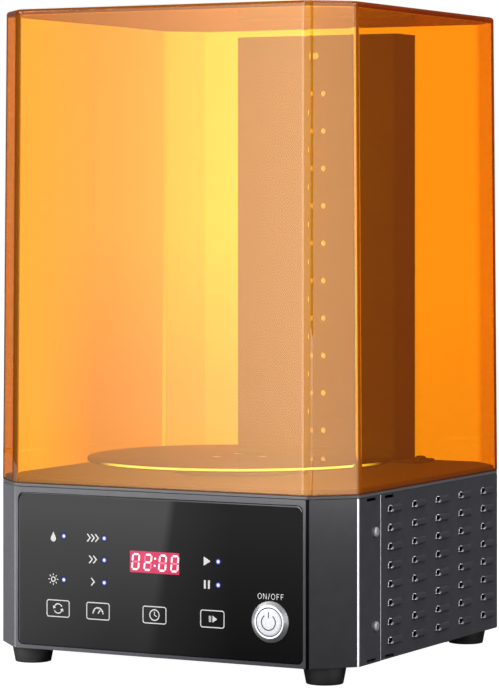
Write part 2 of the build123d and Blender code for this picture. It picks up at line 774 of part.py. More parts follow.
with BuildPart() as magnet_carrier:
    with Locations((0, spin_y, carrier_bottom)):
        Cylinder(8, carrier_disc - carrier_bottom, align=LOW)
    with Locations((0, spin_y, carrier_disc)):
        Cylinder(magnet_circle + 8, carrier_top - carrier_disc, align=LOW)
    with Locations((0, spin_y, carrier_bottom)):
        Cylinder(shaft_radius + 0.02, carrier_top, align=LOW, mode=Mode.SUBTRACT)
    with Locations((0, spin_y, carrier_top)):
        with PolarLocations(magnet_circle, magnet_count):
            Cylinder(magnet_radius + 0.05, magnet_height, align=HIGH, mode=Mode.SUBTRACT)
    with Locations(Plane(origin=(0, spin_y, carrier_bottom + 3), z_dir=(1, 0, 0))):
        Cylinder(screw_radius, 10, align=LOW, mode=Mode.SUBTRACT)
magnet_carrier.part.label = "magnet_carrier"

with BuildPart() as drive_magnets:
    with Locations((0, spin_y, carrier_top)):
        with PolarLocations(magnet_circle, magnet_count):
            Cylinder(magnet_radius, magnet_height, align=HIGH)
drive_magnets.part.label = "drive_magnets"

with BuildPart() as grub_screw:
    with Locations(Plane(origin=(shaft_radius - 0.4, spin_y, carrier_bottom + 3), z_dir=(1, 0, 0))):
        Cylinder(screw_radius - 0.02, 5, align=LOW)
grub_screw.part.label = "grub_screw"

# ---------------------------------------------------------------- turntable
base_bottom = deck_top - base_recess
base_top = base_bottom + 2.0
washer_top = base_top + 0.5
hub_bottom = washer_top + running_gap
pivot_top = disc_bottom - 1.2
disc_screw_circle = 15.0

with BuildPart() as turntable_base:
    with Locations((0, spin_y, base_bottom)):
        Cylinder(hub_radius + 2, base_top - base_bottom, align=LOW)
        chamfer(turntable_base.faces().sort_by(Axis.Z)[-1].edges(), 0.6)
        Cylinder(pivot_radius, pivot_top - base_bottom, align=LOW)
turntable_base.part.label = "turntable_base"

with BuildPart() as thrust_washer:
    with BuildSketch(Plane.XY.offset(base_top)):
        with Locations((0, spin_y)):
            Circle(11)
            Circle(pivot_radius + 0.3, mode=Mode.SUBTRACT)
    extrude(amount=washer_top - base_top)
thrust_washer.part.label = "thrust_washer"

with BuildPart() as turntable_hub:
    with Locations((0, spin_y, hub_bottom)):
        Cylinder(hub_radius, disc_bottom - hub_bottom, align=LOW)
        chamfer(turntable_hub.edges().group_by(Axis.Z)[0], 0.8)
        Cylinder(pivot_radius + running_gap, pivot_top + 0.4 - hub_bottom, align=LOW, mode=Mode.SUBTRACT)
        with PolarLocations(magnet_circle, magnet_count):
            Cylinder(magnet_radius + 0.05, 3.05, align=LOW, mode=Mode.SUBTRACT)
        with PolarLocations(disc_screw_circle, 3):
            Cylinder(1.3, disc_bottom - hub_bottom, align=LOW, mode=Mode.SUBTRACT)
turntable_hub.part.label = "turntable_hub"

with BuildPart() as hub_magnets:
    with Locations((0, spin_y, hub_bottom + 0.05)):
        with PolarLocations(magnet_circle, magnet_count):
            Cylinder(magnet_radius, 3.0, align=LOW)
hub_magnets.part.label = "hub_magnets"

with BuildPart() as turntable_disc:
    with Locations((0, spin_y, disc_bottom)):
        Cylinder(disc_radius, disc_thickness, align=LOW)
        chamfer(turntable_disc.edges(), 0.3)
    with Locations((0, spin_y, disc_top)):
        with PolarLocations(disc_screw_circle, 3):
            CounterSinkHole(1.4, 2.9, depth=disc_thickness)
turntable_disc.part.label = "turntable_disc"

with BuildPart() as disc_screws:
    with Locations((0, spin_y, disc_top)):
        with PolarLocations(disc_screw_circle, 3):
            Cylinder(1.25, disc_thickness + 3, align=HIGH)
            Cone(1.25, 2.6, 1.35, align=HIGH)
disc_screws.part.label = "disc_screws"

# ---------------------------------------------------------------- light tower
# Upright housing with two staggered rows of lamps behind round windows, on a flat foot with ears.
window_radius = 1.8
lens_radius = 1.5
tip_window_radius = 2.3
ear_reach = 14.5
ear_rounding = 5.0
neck_height = 6.0
led_board_front = tower_front + 3.7
led_board_back = led_board_front + board_thickness
led_board_bottom = 113.0
led_board_top = 352.0
led_board_width = 26.0
right_windows = [(led_column_x, led_top_z - led_pitch * i) for i in range(10)]
left_windows = [(-led_column_x, led_top_z - led_pitch * (i + 0.5)) for i in range(9)]
back_plate_front = tower_back_y - tower_wall
back_plate_bottom = tower_bottom + neck_height + 0.2
back_plate_top = tower_top - tower_wall - 0.1
post_places = [(x, z) for x in (-46, 46) for z in (126, 342)]

with BuildPart() as tower_foot:
    with BuildSketch(Plane.XY.offset(deck_top)):
        with Locations((0, tower_middle_y)):
            RectangleRounded(tower_width + 2 * ear_reach, tower_depth, ear_rounding)
        with Locations((-ear_screw_x, tower_middle_y), (ear_screw_x, tower_middle_y)):
            Circle(screw_radius + 0.15, mode=Mode.SUBTRACT)
        with Locations((0, grommet_y)):
            Circle(grommet_radius + 2.2, mode=Mode.SUBTRACT)
    extrude(amount=foot_plate)
    # neck that the housing slips over
    with BuildSketch(Plane.XY.offset(tower_bottom)):
        with Locations((0, tower_middle_y - 0.2)):
            Rectangle(tower_width - 2 * tower_wall - 0.4, tower_depth - 2 * tower_wall - 0.6)
            Rectangle(tower_width - 4 * tower_wall, tower_depth - 4 * tower_wall, mode=Mode.SUBTRACT)
    extrude(amount=neck_height)
tower_foot.part.label = "tower_foot"

with BuildPart() as tower_screws:
    with Locations((-ear_screw_x, tower_middle_y, tower_bottom), (ear_screw_x, tower_middle_y, tower_bottom)):
        Cylinder(3.3, 2.4, align=LOW)
        chamfer(tower_screws.faces().sort_by(Axis.Z)[-1].edges(), 0.5)
        Cylinder(screw_radius, foot_plate + 8, align=HIGH)
tower_screws.part.label = "tower_screws"

with BuildPart() as tower_housing:
    with BuildSketch(Plane.XY.offset(tower_bottom)):
        with Locations((0, tower_middle_y)):
            Rectangle(tower_width, tower_depth)
    extrude(amount=tower_top - tower_bottom)
    fillet(tower_housing.edges().filter_by(Axis.Z).group_by(Axis.Y)[0], tower_radius)
    with BuildSketch(Plane.XY.offset(tower_bottom)):
        with Locations((0, tower_middle_y + tower_wall / 2)):
            Rectangle(tower_width - 2 * tower_wall, tower_depth - tower_wall)
    extrude(amount=tower_top - tower_wall - tower_bottom, mode=Mode.SUBTRACT)
    # posts for the back plate's screws
    with BuildSketch(facing_front(back_plate_front)):
        with Locations(*post_places):
            Circle(3.5)
    extrude(amount=back_plate_front - tower_front - tower_wall)
    with BuildSketch(facing_front(back_plate_front)):
        with Locations(*post_places):
            Circle(1.2)
    extrude(amount=10, mode=Mode.SUBTRACT)
    with BuildSketch(facing_front(tower_front - 1)):
        with Locations(*right_windows, *left_windows):
            Circle(window_radius)
        with Locations((0, tip_led_z)):
            Circle(tip_window_radius)
    extrude(amount=-(tower_wall + 1.5), mode=Mode.SUBTRACT)
tower_housing.part.label = "tower_housing"

with BuildPart() as tower_back:
    with BuildSketch(facing_front(tower_back_y)):
        with Locations((0, (back_plate_bottom + back_plate_top) / 2)):
            Rectangle(tower_width - 2 * tower_wall - 0.2, back_plate_top - back_plate_bottom)
        with Locations(*post_places):
            Circle(1.5, mode=Mode.SUBTRACT)
    extrude(amount=tower_wall)
tower_back.part.label = "tower_back"

with BuildPart() as tower_back_screws:
    with Locations(*[Plane(origin=(x, tower_back_y, z), z_dir=(0, 1, 0)) for x, z in post_places]):
        screw(tower_wall + 6, 2.6, 1.4, 1.15)
tower_back_screws.part.label = "tower_back_screws"

with BuildPart() as led_board:
    with BuildSketch(facing_front(led_board_back)):
        with Locations((0, (led_board_bottom + led_board_top) / 2)):
            Rectangle(led_board_width, led_board_top - led_board_bottom)
    extrude(amount=board_thickness)
led_board.part.label = "led_board"

with BuildPart() as uv_lamps:
    with Locations(*[
        Plane(origin=(x, led_board_front, z), z_dir=(0, -1, 0))
        for x, z in [*right_windows, *left_windows, (0, tip_led_z)]
    ]):
        Box(3.5, 3.5, 1.2, align=LOW)
        with Locations((0, 0, 1.2)):
            Cylinder(lens_radius, 1.8, align=LOW)
        with Locations((0, 0, 3)):
            Cone(lens_radius, 0.9, 0.6, align=LOW)
uv_lamps.part.label = "uv_lamps"

# extruded: a flat back with fins, and two wings that rest against the housing's front wall
fin_pitch = 9.0
fin_count = 9
fin_height = 11.0
fin_thickness = 1.6
sink_width = 80.0
sink_base = 3.0
sink_wing = 6.0
sink_bottom = 116.0
sink_height = 232.0
wing_x = (sink_width - sink_wing) / 2
wing_y = (tower_front + tower_wall + led_board_back) / 2

with BuildPart() as heat_sink:
    with BuildSketch(Plane.XY.offset(sink_bottom)):
        with Locations((0, led_board_back + sink_base / 2)):
            Rectangle(sink_width, sink_base)
        with Locations((0, led_board_back + sink_base)):
            with GridLocations(fin_pitch, 1, fin_count, 1):
                Rectangle(fin_thickness, fin_height, align=(Align.CENTER, Align.MIN))
        with Locations((-wing_x, wing_y), (wing_x, wing_y)):
            Rectangle(sink_wing, led_board_back - tower_front - tower_wall)
    extrude(amount=sink_height)
heat_sink.part.label = "heat_sink"

with BuildPart() as lead_grommet:
    with BuildSketch(Plane.XZ):
        Polygon(
            (3.2, 0), (grommet_radius - 0.1, 0), (grommet_radius - 0.1, deck_skin),
            (grommet_radius + 2, deck_skin), (grommet_radius + 2, deck_skin + 1.2),
            (3.2, deck_skin + 1.2), align=None,
        )
    revolve(axis=Axis.Z)
lead_grommet.part = Location((0, grommet_y, casing_top)) * lead_grommet.part
lead_grommet.part.label = "lead_grommet"

# ---------------------------------------------------------------- leads inside the casing
ribbon_back = board_front + board_thickness
with BuildPart() as panel_ribbon:
    add(flat_cable(
        Plane.YZ.offset(panel_plug_x),
        (
            (ribbon_back, 50), (ribbon_back + 14, 50),
            (ribbon_back + 14, pcb_top + 5), (pcb_front + 2, pcb_top + 5),
        ),
        1.2, 14, 4,
    ))
panel_ribbon.part.label = "panel_ribbon"

with BuildPart() as motor_lead:
    add(flat_cable(
        Plane.XZ.offset(-motor_y),
        (
            (-11, can_bottom - 5), (-11, 17), (-bracket_half - 5, 17),
            (-bracket_half - 5, pcb_top + 4), (pcb_right, pcb_top + 4),
        ),
        1.6, 4, 1.5,
    ))
motor_lead.part.label = "motor_lead"

lamp_run = Vector(-lamp_plug[0], grommet_y - lamp_plug[1], 0)
with BuildPart() as lamp_lead:
    add(flat_cable(
        Plane(origin=(*lamp_plug, 0), x_dir=lamp_run, z_dir=lamp_run.cross(Vector(0, 0, 1))),
        ((0, pcb_top + 7), (0, 42), (lamp_run.length, 42), (lamp_run.length, 111)),
        1.6, 4, 6,
    ))
lamp_lead.part.label = "lamp_lead"

with BuildPart() as inlet_lead:
    add(flat_cable(
        Plane.YZ.offset(inlet_x),
        (
            (back - inlet_depth - 3, inlet_z), (back - 19, inlet_z),
            (back - 19, pcb_top + 4), (pcb_rear, pcb_top + 4),
        ),
        1.6, 5, 1.5,
    ))
inlet_lead.part.label = "inlet_lead"

# ---------------------------------------------------------------- amber cover
# Moulded in one piece: eight walls that lean in a little, a flat top, and rounded edges.
with BuildPart() as cover:
    with BuildSketch(Plane.XY.offset(casing_top)):
        add(octagon(-cover_overhang))
    with BuildSketch(Plane.XY.offset(cover_top)):
        add(octagon(cover_draft - cover_overhang))
    loft()
    fillet(cover.edges().filter_by(lambda e: abs(e.length - cover_height) < 1), cover_bend)
    fillet(cover.faces().sort_by(Axis.Z)[-1].edges(), cover_rounding)
    with BuildSketch(Plane.XY.offset(casing_top)):
        add(octagon(cover_wall - cover_overhang, cover_bend - cover_wall))
    with BuildSketch(Plane.XY.offset(cover_top - cover_wall)):
        add(octagon(cover_wall + cover_draft - cover_overhang, cover_bend - cover_wall))
    loft(mode=Mode.SUBTRACT)
cover.part.label = "cover"

# ---------------------------------------------------------------- export
pieces = (
    front_shell, rear_shell, shell_screws, base_plate, base_screws, rubber_feet, foot_screws, foot_nuts,
    deck_plate, deck_screws, touch_glass, panel_carrier, touch_board, board_screws, display_module,
    indicator_lamps, touch_pads, button_housing, button_ring, button_cap, button_spring, button_nut,
    button_contacts, main_board, board_standoffs, main_board_screws, board_components, dc_inlet,
    inlet_pin, inlet_tabs, inlet_nut, motor_bracket, bracket_screws, drive_motor, motor_screws,
    drive_shaft, magnet_carrier, drive_magnets, grub_screw, turntable_base, thrust_washer,
    turntable_hub, hub_magnets, turntable_disc, disc_screws, tower_foot, tower_screws, tower_housing,
    tower_back, tower_back_screws, led_board, uv_lamps, heat_sink, lead_grommet, panel_ribbon,
    motor_lead, lamp_lead, inlet_lead, cover,
)
os.makedirs("parts", exist_ok=True)
for piece in pieces:
    export_step(piece.part, f"parts/{piece.part.label}.step")
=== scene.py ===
import json
from math import cos, hypot, pi, radians, sin, sqrt, tan

import bmesh
import bpy
from mathutils import Matrix, Vector


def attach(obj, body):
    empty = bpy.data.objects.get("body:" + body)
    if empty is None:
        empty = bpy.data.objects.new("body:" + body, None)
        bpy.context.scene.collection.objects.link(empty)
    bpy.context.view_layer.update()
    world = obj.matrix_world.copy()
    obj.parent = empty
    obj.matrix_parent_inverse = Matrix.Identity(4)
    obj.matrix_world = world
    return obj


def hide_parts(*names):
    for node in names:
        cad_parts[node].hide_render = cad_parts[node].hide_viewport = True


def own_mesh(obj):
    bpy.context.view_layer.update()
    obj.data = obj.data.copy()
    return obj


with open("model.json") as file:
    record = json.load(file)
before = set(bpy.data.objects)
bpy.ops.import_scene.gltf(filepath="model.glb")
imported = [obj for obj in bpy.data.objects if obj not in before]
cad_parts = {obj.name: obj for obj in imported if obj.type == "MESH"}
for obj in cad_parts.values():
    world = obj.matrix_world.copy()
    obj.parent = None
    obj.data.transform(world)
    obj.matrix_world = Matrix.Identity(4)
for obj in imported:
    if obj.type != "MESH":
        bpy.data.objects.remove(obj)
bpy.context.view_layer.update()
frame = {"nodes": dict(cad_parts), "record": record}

# ================================================================ studio
# A pale table with a soft key light at the front left, a weaker fill and a bright room behind.
# The camera stands a little above the control panel, level, about 1.9 m away.


def linear(hex_colour):
    """sRGB hex colour as the linear RGBA that shaders take."""
    parts = [int(hex_colour[i:i + 2], 16) / 255 for i in (1, 3, 5)]
    return (*[c / 12.92 if c <= 0.04045 else ((c + 0.055) / 1.055) ** 2.4 for c in parts], 1.0)


def add_node(tree, kind, inputs=None, **settings):
    """Adds a node: settings are its own properties, inputs hold values, or the sockets or nodes that
    feed it, of a node its first output."""
    added = tree.nodes.new(kind)
    for name, value in settings.items():
        setattr(added, name, value)
    for key, value in (inputs or {}).items():
        if isinstance(value, bpy.types.Node):
            value = value.outputs[0]
        if isinstance(value, bpy.types.NodeSocket):
            tree.links.new(value, added.inputs[key])
        else:
            added.inputs[key].default_value = value
    return added


def blank_material(name):
    """An empty node material and its tree."""
    material = bpy.data.materials.new(name)
    material.use_nodes = True
    material.node_tree.nodes.clear()
    return material, material.node_tree


def surface(tree, skin):
    """Makes the skin the material's surface."""
    add_node(tree, "ShaderNodeOutputMaterial", {"Surface": skin})


def in_scene(name, data):
    """A new object that holds the data, linked to the scene."""
    holder = bpy.data.objects.new(name, data)
    bpy.context.scene.collection.objects.link(holder)
    return holder


sensor_mm, picture_height = 36.0, 688
focal_pixels, horizon_pixels = 3257.4, 143.4
camera_data = bpy.data.cameras.new("studio_camera")
camera_data.sensor_width = sensor_mm
camera_data.sensor_fit = "AUTO"
camera_data.lens = focal_pixels / picture_height * sensor_mm
camera_data.shift_y = -horizon_pixels / picture_height
camera_data.clip_end = 50
camera = in_scene("studio_camera", camera_data)
camera.location = (0.8799, -1.6569, 0.2595)
camera.rotation_euler = (radians(90), 0, radians(28.048))
bpy.context.scene.camera = camera
bpy.context.scene.view_settings.view_transform = "Standard"

world = bpy.data.worlds.new("white_room")
world.use_nodes = True
room = world.node_tree
room.nodes.clear()
# white to the camera and brighter through glass, nearly dark in gloss, and dim as ambient light
through_glass, ambient, darkest = 1.68, 0.26, 0.03
room_paths = add_node(room, "ShaderNodeLightPath").outputs
room_gloss = add_node(room, "ShaderNodeMath", {0: room_paths["Glossy Depth"], 1: 0.5}, operation="LESS_THAN")
past_glass = add_node(room, "ShaderNodeMath", {
    0: room_paths["Is Transmission Ray"], 1: through_glass,
}, operation="MULTIPLY")
seen_white = add_node(room, "ShaderNodeMath", {0: room_paths["Is Camera Ray"], 1: past_glass}, operation="MAXIMUM")
straight_on = add_node(room, "ShaderNodeMath", {0: seen_white, 1: room_gloss}, operation="MULTIPLY")
as_ambient = add_node(room, "ShaderNodeMath", {
    0: room_paths["Is Diffuse Ray"], 1: ambient, 2: darkest,
}, operation="MULTIPLY_ADD")
room_level = add_node(room, "ShaderNodeMath", {0: straight_on, 1: as_ambient}, operation="MAXIMUM")
room_light = add_node(room, "ShaderNodeBackground", {"Color": (1, 1, 1, 1), "Strength": room_level})
add_node(room, "ShaderNodeOutputWorld", {"Surface": room_light})
bpy.context.scene.world = world


def area_light(name, place, target, size, power, colour=(1, 1, 1), hidden=False):
    """A softbox at place that points at target; a hidden one isn't seen or mirrored by anything."""
    lamp = bpy.data.lights.new(name, "AREA")
    lamp.shape = "RECTANGLE"
    lamp.size, lamp.size_y = size
    lamp.energy = power
    lamp.color = colour
    holder = in_scene(name, lamp)
    holder.location = place
    holder.rotation_euler = (Vector(target) - Vector(place)).to_track_quat("-Z", "Y").to_euler()
    if hidden:
        holder.visible_camera = holder.visible_glossy = holder.visible_transmission = False
    return holder


area_light("key_softbox", (-0.9, -0.8, 0.72), (0, 0, 0.1), (0.6, 0.54), 9)
area_light("right_fill", (1.6, 0.9, 1.2), (0, 0, 0.1), (1.0, 1.0), 12, hidden=True)
haze_lamp = area_light("haze_softbox", (0.13, -0.38, 0.24), (0.11, 0, 0.24), (0.05, 0.6), 10, hidden=True)
side_haze_lamp = area_light(
    "side_haze_softbox", (0.7, 0.1, 0.24), (0.1, 0.0, 0.24), (0.3, 0.6), 5, (1.0, 0.18, 0.8), hidden=True,
)
frame_lamp = area_light("frame_softbox", (-0.22, -0.28, 0.14), (-0.1, -0.11, 0.08), (0.1, 0.1), 0.5, hidden=True)
area_light("top_softbox", (0.2, 0.2, 2.2), (0, 0, 0.2), (1.6, 1.6), 14)


def light_only(piece, *lamps):
    """Makes these lamps light nothing but the piece."""
    lit = bpy.data.collections.new(piece.name)
    lit.objects.link(piece)
    for lamp in lamps:
        lamp.light_linking.receiver_collection = lit


def stage_sheet(name, corners, material):
    """A flat sheet of the studio, not part of the machine."""
    mesh = bpy.data.meshes.new(name)
    mesh.from_pydata(corners, [], [(0, 1, 2, 3)])
    mesh.materials.append(material)
    sheet = in_scene(name, mesh)
    return sheet


def upright(start, end, low, high):
    """Corners of an upright card between two plan points."""
    return [(*start, low), (*end, low), (*end, high), (*start, high)]


def gloss_card(name, corners, level):
    """A card that only reflections see, lit by the level that a function builds in its tree."""
    paper, tree = blank_material(name)
    surface(tree, add_node(tree, "ShaderNodeEmission", {"Color": (1, 1, 1, 1), "Strength": level(tree)}))
    card = stage_sheet(name, corners, paper)
    card.visible_camera = card.visible_diffuse = card.visible_transmission = card.visible_shadow = False
    return card


def point_shaded(tree):
    """The place of the point that is shaded, whole and as X, Y and Z."""
    place = add_node(tree, "ShaderNodeTexCoord").outputs["Object"]
    return place, add_node(tree, "ShaderNodeSeparateXYZ", {0: place}).outputs


def front_fall(tree):
    """The front card's level: brightest a little left of the camera, falling off to the left."""
    axes = point_shaded(tree)[1]
    aside = add_node(tree, "ShaderNodeMath", {0: axes["X"], 1: axes["Y"]}, operation="DIVIDE")
    return add_node(tree, "ShaderNodeMapRange", {
        "Value": aside, "From Min": 0.44, "From Max": 0.66, "To Min": 4.8, "To Max": 0.7,
    })


gloss_card("front_card", upright((-3.2, -2.6), (-0.2, -2.6), 0, 3), front_fall)
# beside the camera, near enough for the cover to reflect them and the casing not to
for name, start, end, low, high, level in (
    ("bright_edge_card", (-0.426, -1.179), (-0.170, -1.269), 0.001, 0.46, 6.5),
    ("soft_card", (-0.088, -1.437), (1.003, -1.103), 0.001, 0.46, 2.1),
    ("right_card", (1.141, -0.711), (1.282, -0.363), 0.001, 1.6, 2.8),
    ("bend_card", (1.30, -0.34), (1.33, -0.17), 0.001, 0.55, 5.0),
    ("low_card", (1.33, -0.13), (1.33, 0.28), 0.001, 0.55, 1.5),
    ("edge_card", (1.6, -0.4), (1.6, 0.6), 0.6, 1.6, 4.0),
    ("left_card", (-1.4, 0.2), (-1.0, 1.6), 0.02, 1.6, 0.15),
):
    gloss_card(name, upright(start, end, low, high), lambda tree: level)


def backdrop_level(tree):
    """The backdrop's level: a brighter sheet hangs on its right, and all of it falls off to the foot.
    Its left end stays even, and to what shines it is dark, as the room is."""
    place, axes = point_shaded(tree)
    across = add_node(tree, "ShaderNodeVectorMath", {
        0: place, 1: (0.8826, 0.4702, 0),
    }, operation="DOT_PRODUCT").outputs["Value"]
    left = add_node(tree, "ShaderNodeMapRange", {
        "Value": across, "From Min": -0.117, "From Max": -0.06, "To Min": 1.35, "To Max": 1.60,
    })
    sheet_edge = add_node(tree, "ShaderNodeMapRange", {
        "Value": across, "From Min": -0.0436, "From Max": -0.0426, "To Min": 0.0, "To Max": 0.37,
    })
    level = add_node(tree, "ShaderNodeMath", {0: left, 1: sheet_edge}, operation="ADD")
    foot = add_node(tree, "ShaderNodeMapRange", {
        "Value": axes["Z"], "From Min": 0.092, "From Max": 0.235, "To Min": 0.60, "To Max": 1.0,
    })
    falling = add_node(tree, "ShaderNodeMath", {0: level, 1: foot}, operation="MULTIPLY")
    inside = add_node(tree, "ShaderNodeMapRange", {"Value": across, "From Min": -0.19, "From Max": -0.14})
    blended = add_node(tree, "ShaderNodeMix", {0: inside, 2: 1.66, 3: falling})
    paths = add_node(tree, "ShaderNodeLightPath").outputs
    straight = add_node(tree, "ShaderNodeMath", {0: paths["Glossy Depth"], 1: 0.5}, operation="LESS_THAN")
    return add_node(tree, "ShaderNodeMath", {0: blended, 1: straight, 2: 0.05}, operation="MULTIPLY_ADD")


# a narrow white backdrop a metre behind, seen only through the amber
backdrop = gloss_card("backdrop", upright((-0.779, 0.718), (-0.417, 0.911), 0.001, 0.9), backdrop_level)
backdrop.visible_glossy, backdrop.visible_transmission = False, True


def lit_wedge(tree, place, corner, near_way, far_way):
    """A strip light on the table: 1 between two lines from a corner of the machine and within 1.15 m
    of it, 0 elsewhere. Also how far away the corner is."""
    from_corner = add_node(tree, "ShaderNodeVectorMath", {0: place, 1: corner}, operation="SUBTRACT")
    near = add_node(
        tree, "ShaderNodeVectorMath", {0: from_corner, 1: near_way}, operation="DOT_PRODUCT",
    ).outputs["Value"]
    far = add_node(tree, "ShaderNodeVectorMath", {0: from_corner, 1: far_way}, operation="DOT_PRODUCT").outputs["Value"]
    between = add_node(tree, "ShaderNodeMath", {0: near, 1: far}, operation="MINIMUM")
    inside = add_node(tree, "ShaderNodeMath", {0: between, 1: 0.0}, operation="GREATER_THAN")
    away = add_node(tree, "ShaderNodeVectorMath", {0: from_corner}, operation="LENGTH").outputs["Value"]
    in_reach = add_node(tree, "ShaderNodeMath", {0: away, 1: 1.15}, operation="LESS_THAN")
    return add_node(tree, "ShaderNodeMath", {0: inside, 1: in_reach}, operation="MULTIPLY"), away


# Laminate table, near white. To the camera and through glass it shows as the white room does, less
# the machine's soft shadow. In gloss it is dark near the machine and has a grey card on its left with
# a straight edge, and further off it goes on as the front card does.
table_white, tree = blank_material("white_laminate_table")
table_paint = add_node(tree, "ShaderNodeBsdfDiffuse", {"Color": linear("#8c8c8c")})
table_paths = add_node(tree, "ShaderNodeLightPath").outputs
table_place, table_axes = point_shaded(tree)
# the card's edge runs from (-0.053, -0.198) to (-0.507, -1.028); beside it the table glows
across_edge = add_node(tree, "ShaderNodeMath", {0: table_axes["Y"], 1: 0.5473, 2: 0.0557}, operation="MULTIPLY_ADD")
edge_side = add_node(tree, "ShaderNodeMath", {0: across_edge, 1: table_axes["X"]}, operation="SUBTRACT")
on_card = add_node(tree, "ShaderNodeMapRange", {
    "Value": edge_side, "From Min": -0.004, "From Max": 0.004, "To Min": 0.45, "To Max": 1.6,
})
near_fade = add_node(tree, "ShaderNodeMapRange", {
    "Value": table_axes["Y"], "From Min": -0.9, "From Max": -0.12, "To Min": 0.93, "To Max": 0.125,
})
edge_glow = add_node(tree, "ShaderNodeMapRange", {
    "Value": edge_side, "From Min": -0.055, "From Max": -0.004, "To Min": 0.0, "To Max": 0.27,
})
left_side = add_node(tree, "ShaderNodeMapRange", {
    "Value": edge_side, "From Min": 0.03, "From Max": 0.095, "To Min": 0.0, "To Max": 0.37,
})
left_foot = add_node(tree, "ShaderNodeMapRange", {"Value": table_axes["Y"], "From Min": -0.7, "From Max": -0.25})
both_glows = add_node(tree, "ShaderNodeMath", {0: left_side, 1: left_foot, 2: edge_glow}, operation="MULTIPLY_ADD")
card_level = add_node(tree, "ShaderNodeMath", {0: on_card, 1: near_fade, 2: both_glows}, operation="MULTIPLY_ADD")
# from 1.1 m in front of the machine's middle the front card's fall goes on
far_off = add_node(tree, "ShaderNodeMath", {0: table_axes["Y"], 1: -1.1}, operation="LESS_THAN")
far_fade = add_node(tree, "ShaderNodeMapRange", {
    "Value": table_axes["Y"], "From Min": -2.6, "From Max": -1.9, "To Min": 1.0, "To Max": 0.8,
})
far_level = add_node(tree, "ShaderNodeMath", {0: front_fall(tree), 1: far_fade}, operation="MULTIPLY")
front_level = add_node(tree, "ShaderNodeMix", {0: far_off, 2: card_level, 3: far_level})
# beside and behind the machine the table is dark, a little less so on the left
in_front = add_node(tree, "ShaderNodeMath", {0: table_axes["Y"], 1: -0.1}, operation="LESS_THAN")
at_left = add_node(tree, "ShaderNodeMath", {0: table_axes["X"], 1: -0.1}, operation="LESS_THAN")
behind_level = add_node(tree, "ShaderNodeMix", {0: at_left, 2: darkest, 3: 0.18})
round_level = add_node(tree, "ShaderNodeMix", {0: in_front, 2: behind_level, 3: front_level})
# a strip light lies on the right, and a stronger one on the left, seen only by the front left bend
on_strip = lit_wedge(tree, table_place, (0.1125, -0.0925, 0), (0.31, 0.951, 0), (0.342, -0.940, 0))[0]
on_left, left_away = lit_wedge(tree, table_place, (-0.0925, -0.1125, 0), (0.26, -0.966, 0), (-0.77, 0.64, 0))
strip_level = add_node(tree, "ShaderNodeMix", {0: on_strip, 2: round_level, 3: 1.4})
near_level = add_node(tree, "ShaderNodeMix", {0: on_left, 2: strip_level, 3: 3.0})
# far off on the left, past the front card's end, all is dark, and so is what gloss sees through glass
out_left = add_node(tree, "ShaderNodeMath", {0: table_axes["X"], 1: table_axes["Y"]}, operation="DIVIDE")
past_end = add_node(tree, "ShaderNodeMath", {0: out_left, 1: 1.23}, operation="GREATER_THAN")
behind_end = add_node(tree, "ShaderNodeMath", {0: table_axes["Y"], 1: -0.1}, operation="GREATER_THAN")
past_or_behind = add_node(tree, "ShaderNodeMath", {0: past_end, 1: behind_end}, operation="MAXIMUM")
far_left = add_node(tree, "ShaderNodeMath", {0: left_away, 1: 1.6}, operation="GREATER_THAN")
no_card = add_node(tree, "ShaderNodeMath", {0: past_or_behind, 1: far_left}, operation="MULTIPLY")
unlit = add_node(tree, "ShaderNodeMath", {0: no_card, 1: table_paths["Is Transmission Ray"]}, operation="MAXIMUM")
gloss_level = add_node(tree, "ShaderNodeMix", {0: unlit, 2: near_level, 3: darkest})
card_glow = add_node(tree, "ShaderNodeEmission", {"Color": (1, 1, 1, 1), "Strength": gloss_level})
white_glow = add_node(tree, "ShaderNodeEmission", {"Color": (1, 1, 1, 1), "Strength": 1.0})
past_level = add_node(tree, "ShaderNodeMapRange", {
    "Value": table_axes["Y"], "From Min": 0.4, "From Max": 6.0, "To Min": 1.45, "To Max": through_glass,
})
past_glow = add_node(tree, "ShaderNodeEmission", {"Color": (1, 1, 1, 1), "Strength": past_level})
table_lit = add_node(tree, "ShaderNodeAddShader", {0: table_paint, 1: white_glow})
table_base = add_node(tree, "ShaderNodeMixShader", {0: table_paths["Is Camera Ray"], 1: table_paint, 2: table_lit})
table_past = add_node(tree, "ShaderNodeMixShader", {0: table_paths["Is Transmission Ray"], 1: table_base, 2: past_glow})
in_gloss = add_node(tree, "ShaderNodeMath", {0: table_paths["Glossy Depth"], 1: 0.5}, operation="GREATER_THAN")
in_shine = add_node(tree, "ShaderNodeMath", {
    0: in_gloss, 1: table_paths["Is Diffuse Ray"],
}, operation="SUBTRACT", use_clamp=True)
surface(tree, add_node(tree, "ShaderNodeMixShader", {0: in_shine, 1: table_past, 2: card_glow}))
table_reach = 6
stage_sheet(
    "table", [(x * table_reach, y * table_reach, 0) for x, y in ((-1, -1), (1, -1), (1, 1), (-1, 1))], table_white,
)

# ================================================================ sheet-metal casing
# Two folded sheets of 1 mm steel, powder coated dark grey: a front frame with its corners, and one
# sheet for both louvred sides and the back. They meet at a fine seam behind the front corners.
half_width = 0.1125
corner_leg = 0.0206
sheet = 0.001
bend = 0.003
seam_y = -0.0656


def noise_shade(tree, colour, strength, scale_mm):
    """A colour with faint uneven lightness, its patches scale_mm across."""
    place = add_node(tree, "ShaderNodeTexCoord")
    noise = add_node(tree, "ShaderNodeTexNoise", {
        "Vector": place.outputs["Object"], "Scale": 1000.0 / scale_mm, "Detail": 3.0,
    })
    level = add_node(tree, "ShaderNodeMapRange", {
        "Value": noise.outputs["Fac"], "From Min": 0.3, "From Max": 0.7, "To Min": 1 - strength, "To Max": 1 + strength,
    })
    tint = add_node(tree, "ShaderNodeMix", {0: 1.0, 6: colour, 7: level}, data_type="RGBA", blend_type="MULTIPLY")
    return noise.outputs["Fac"], tint.outputs[2]


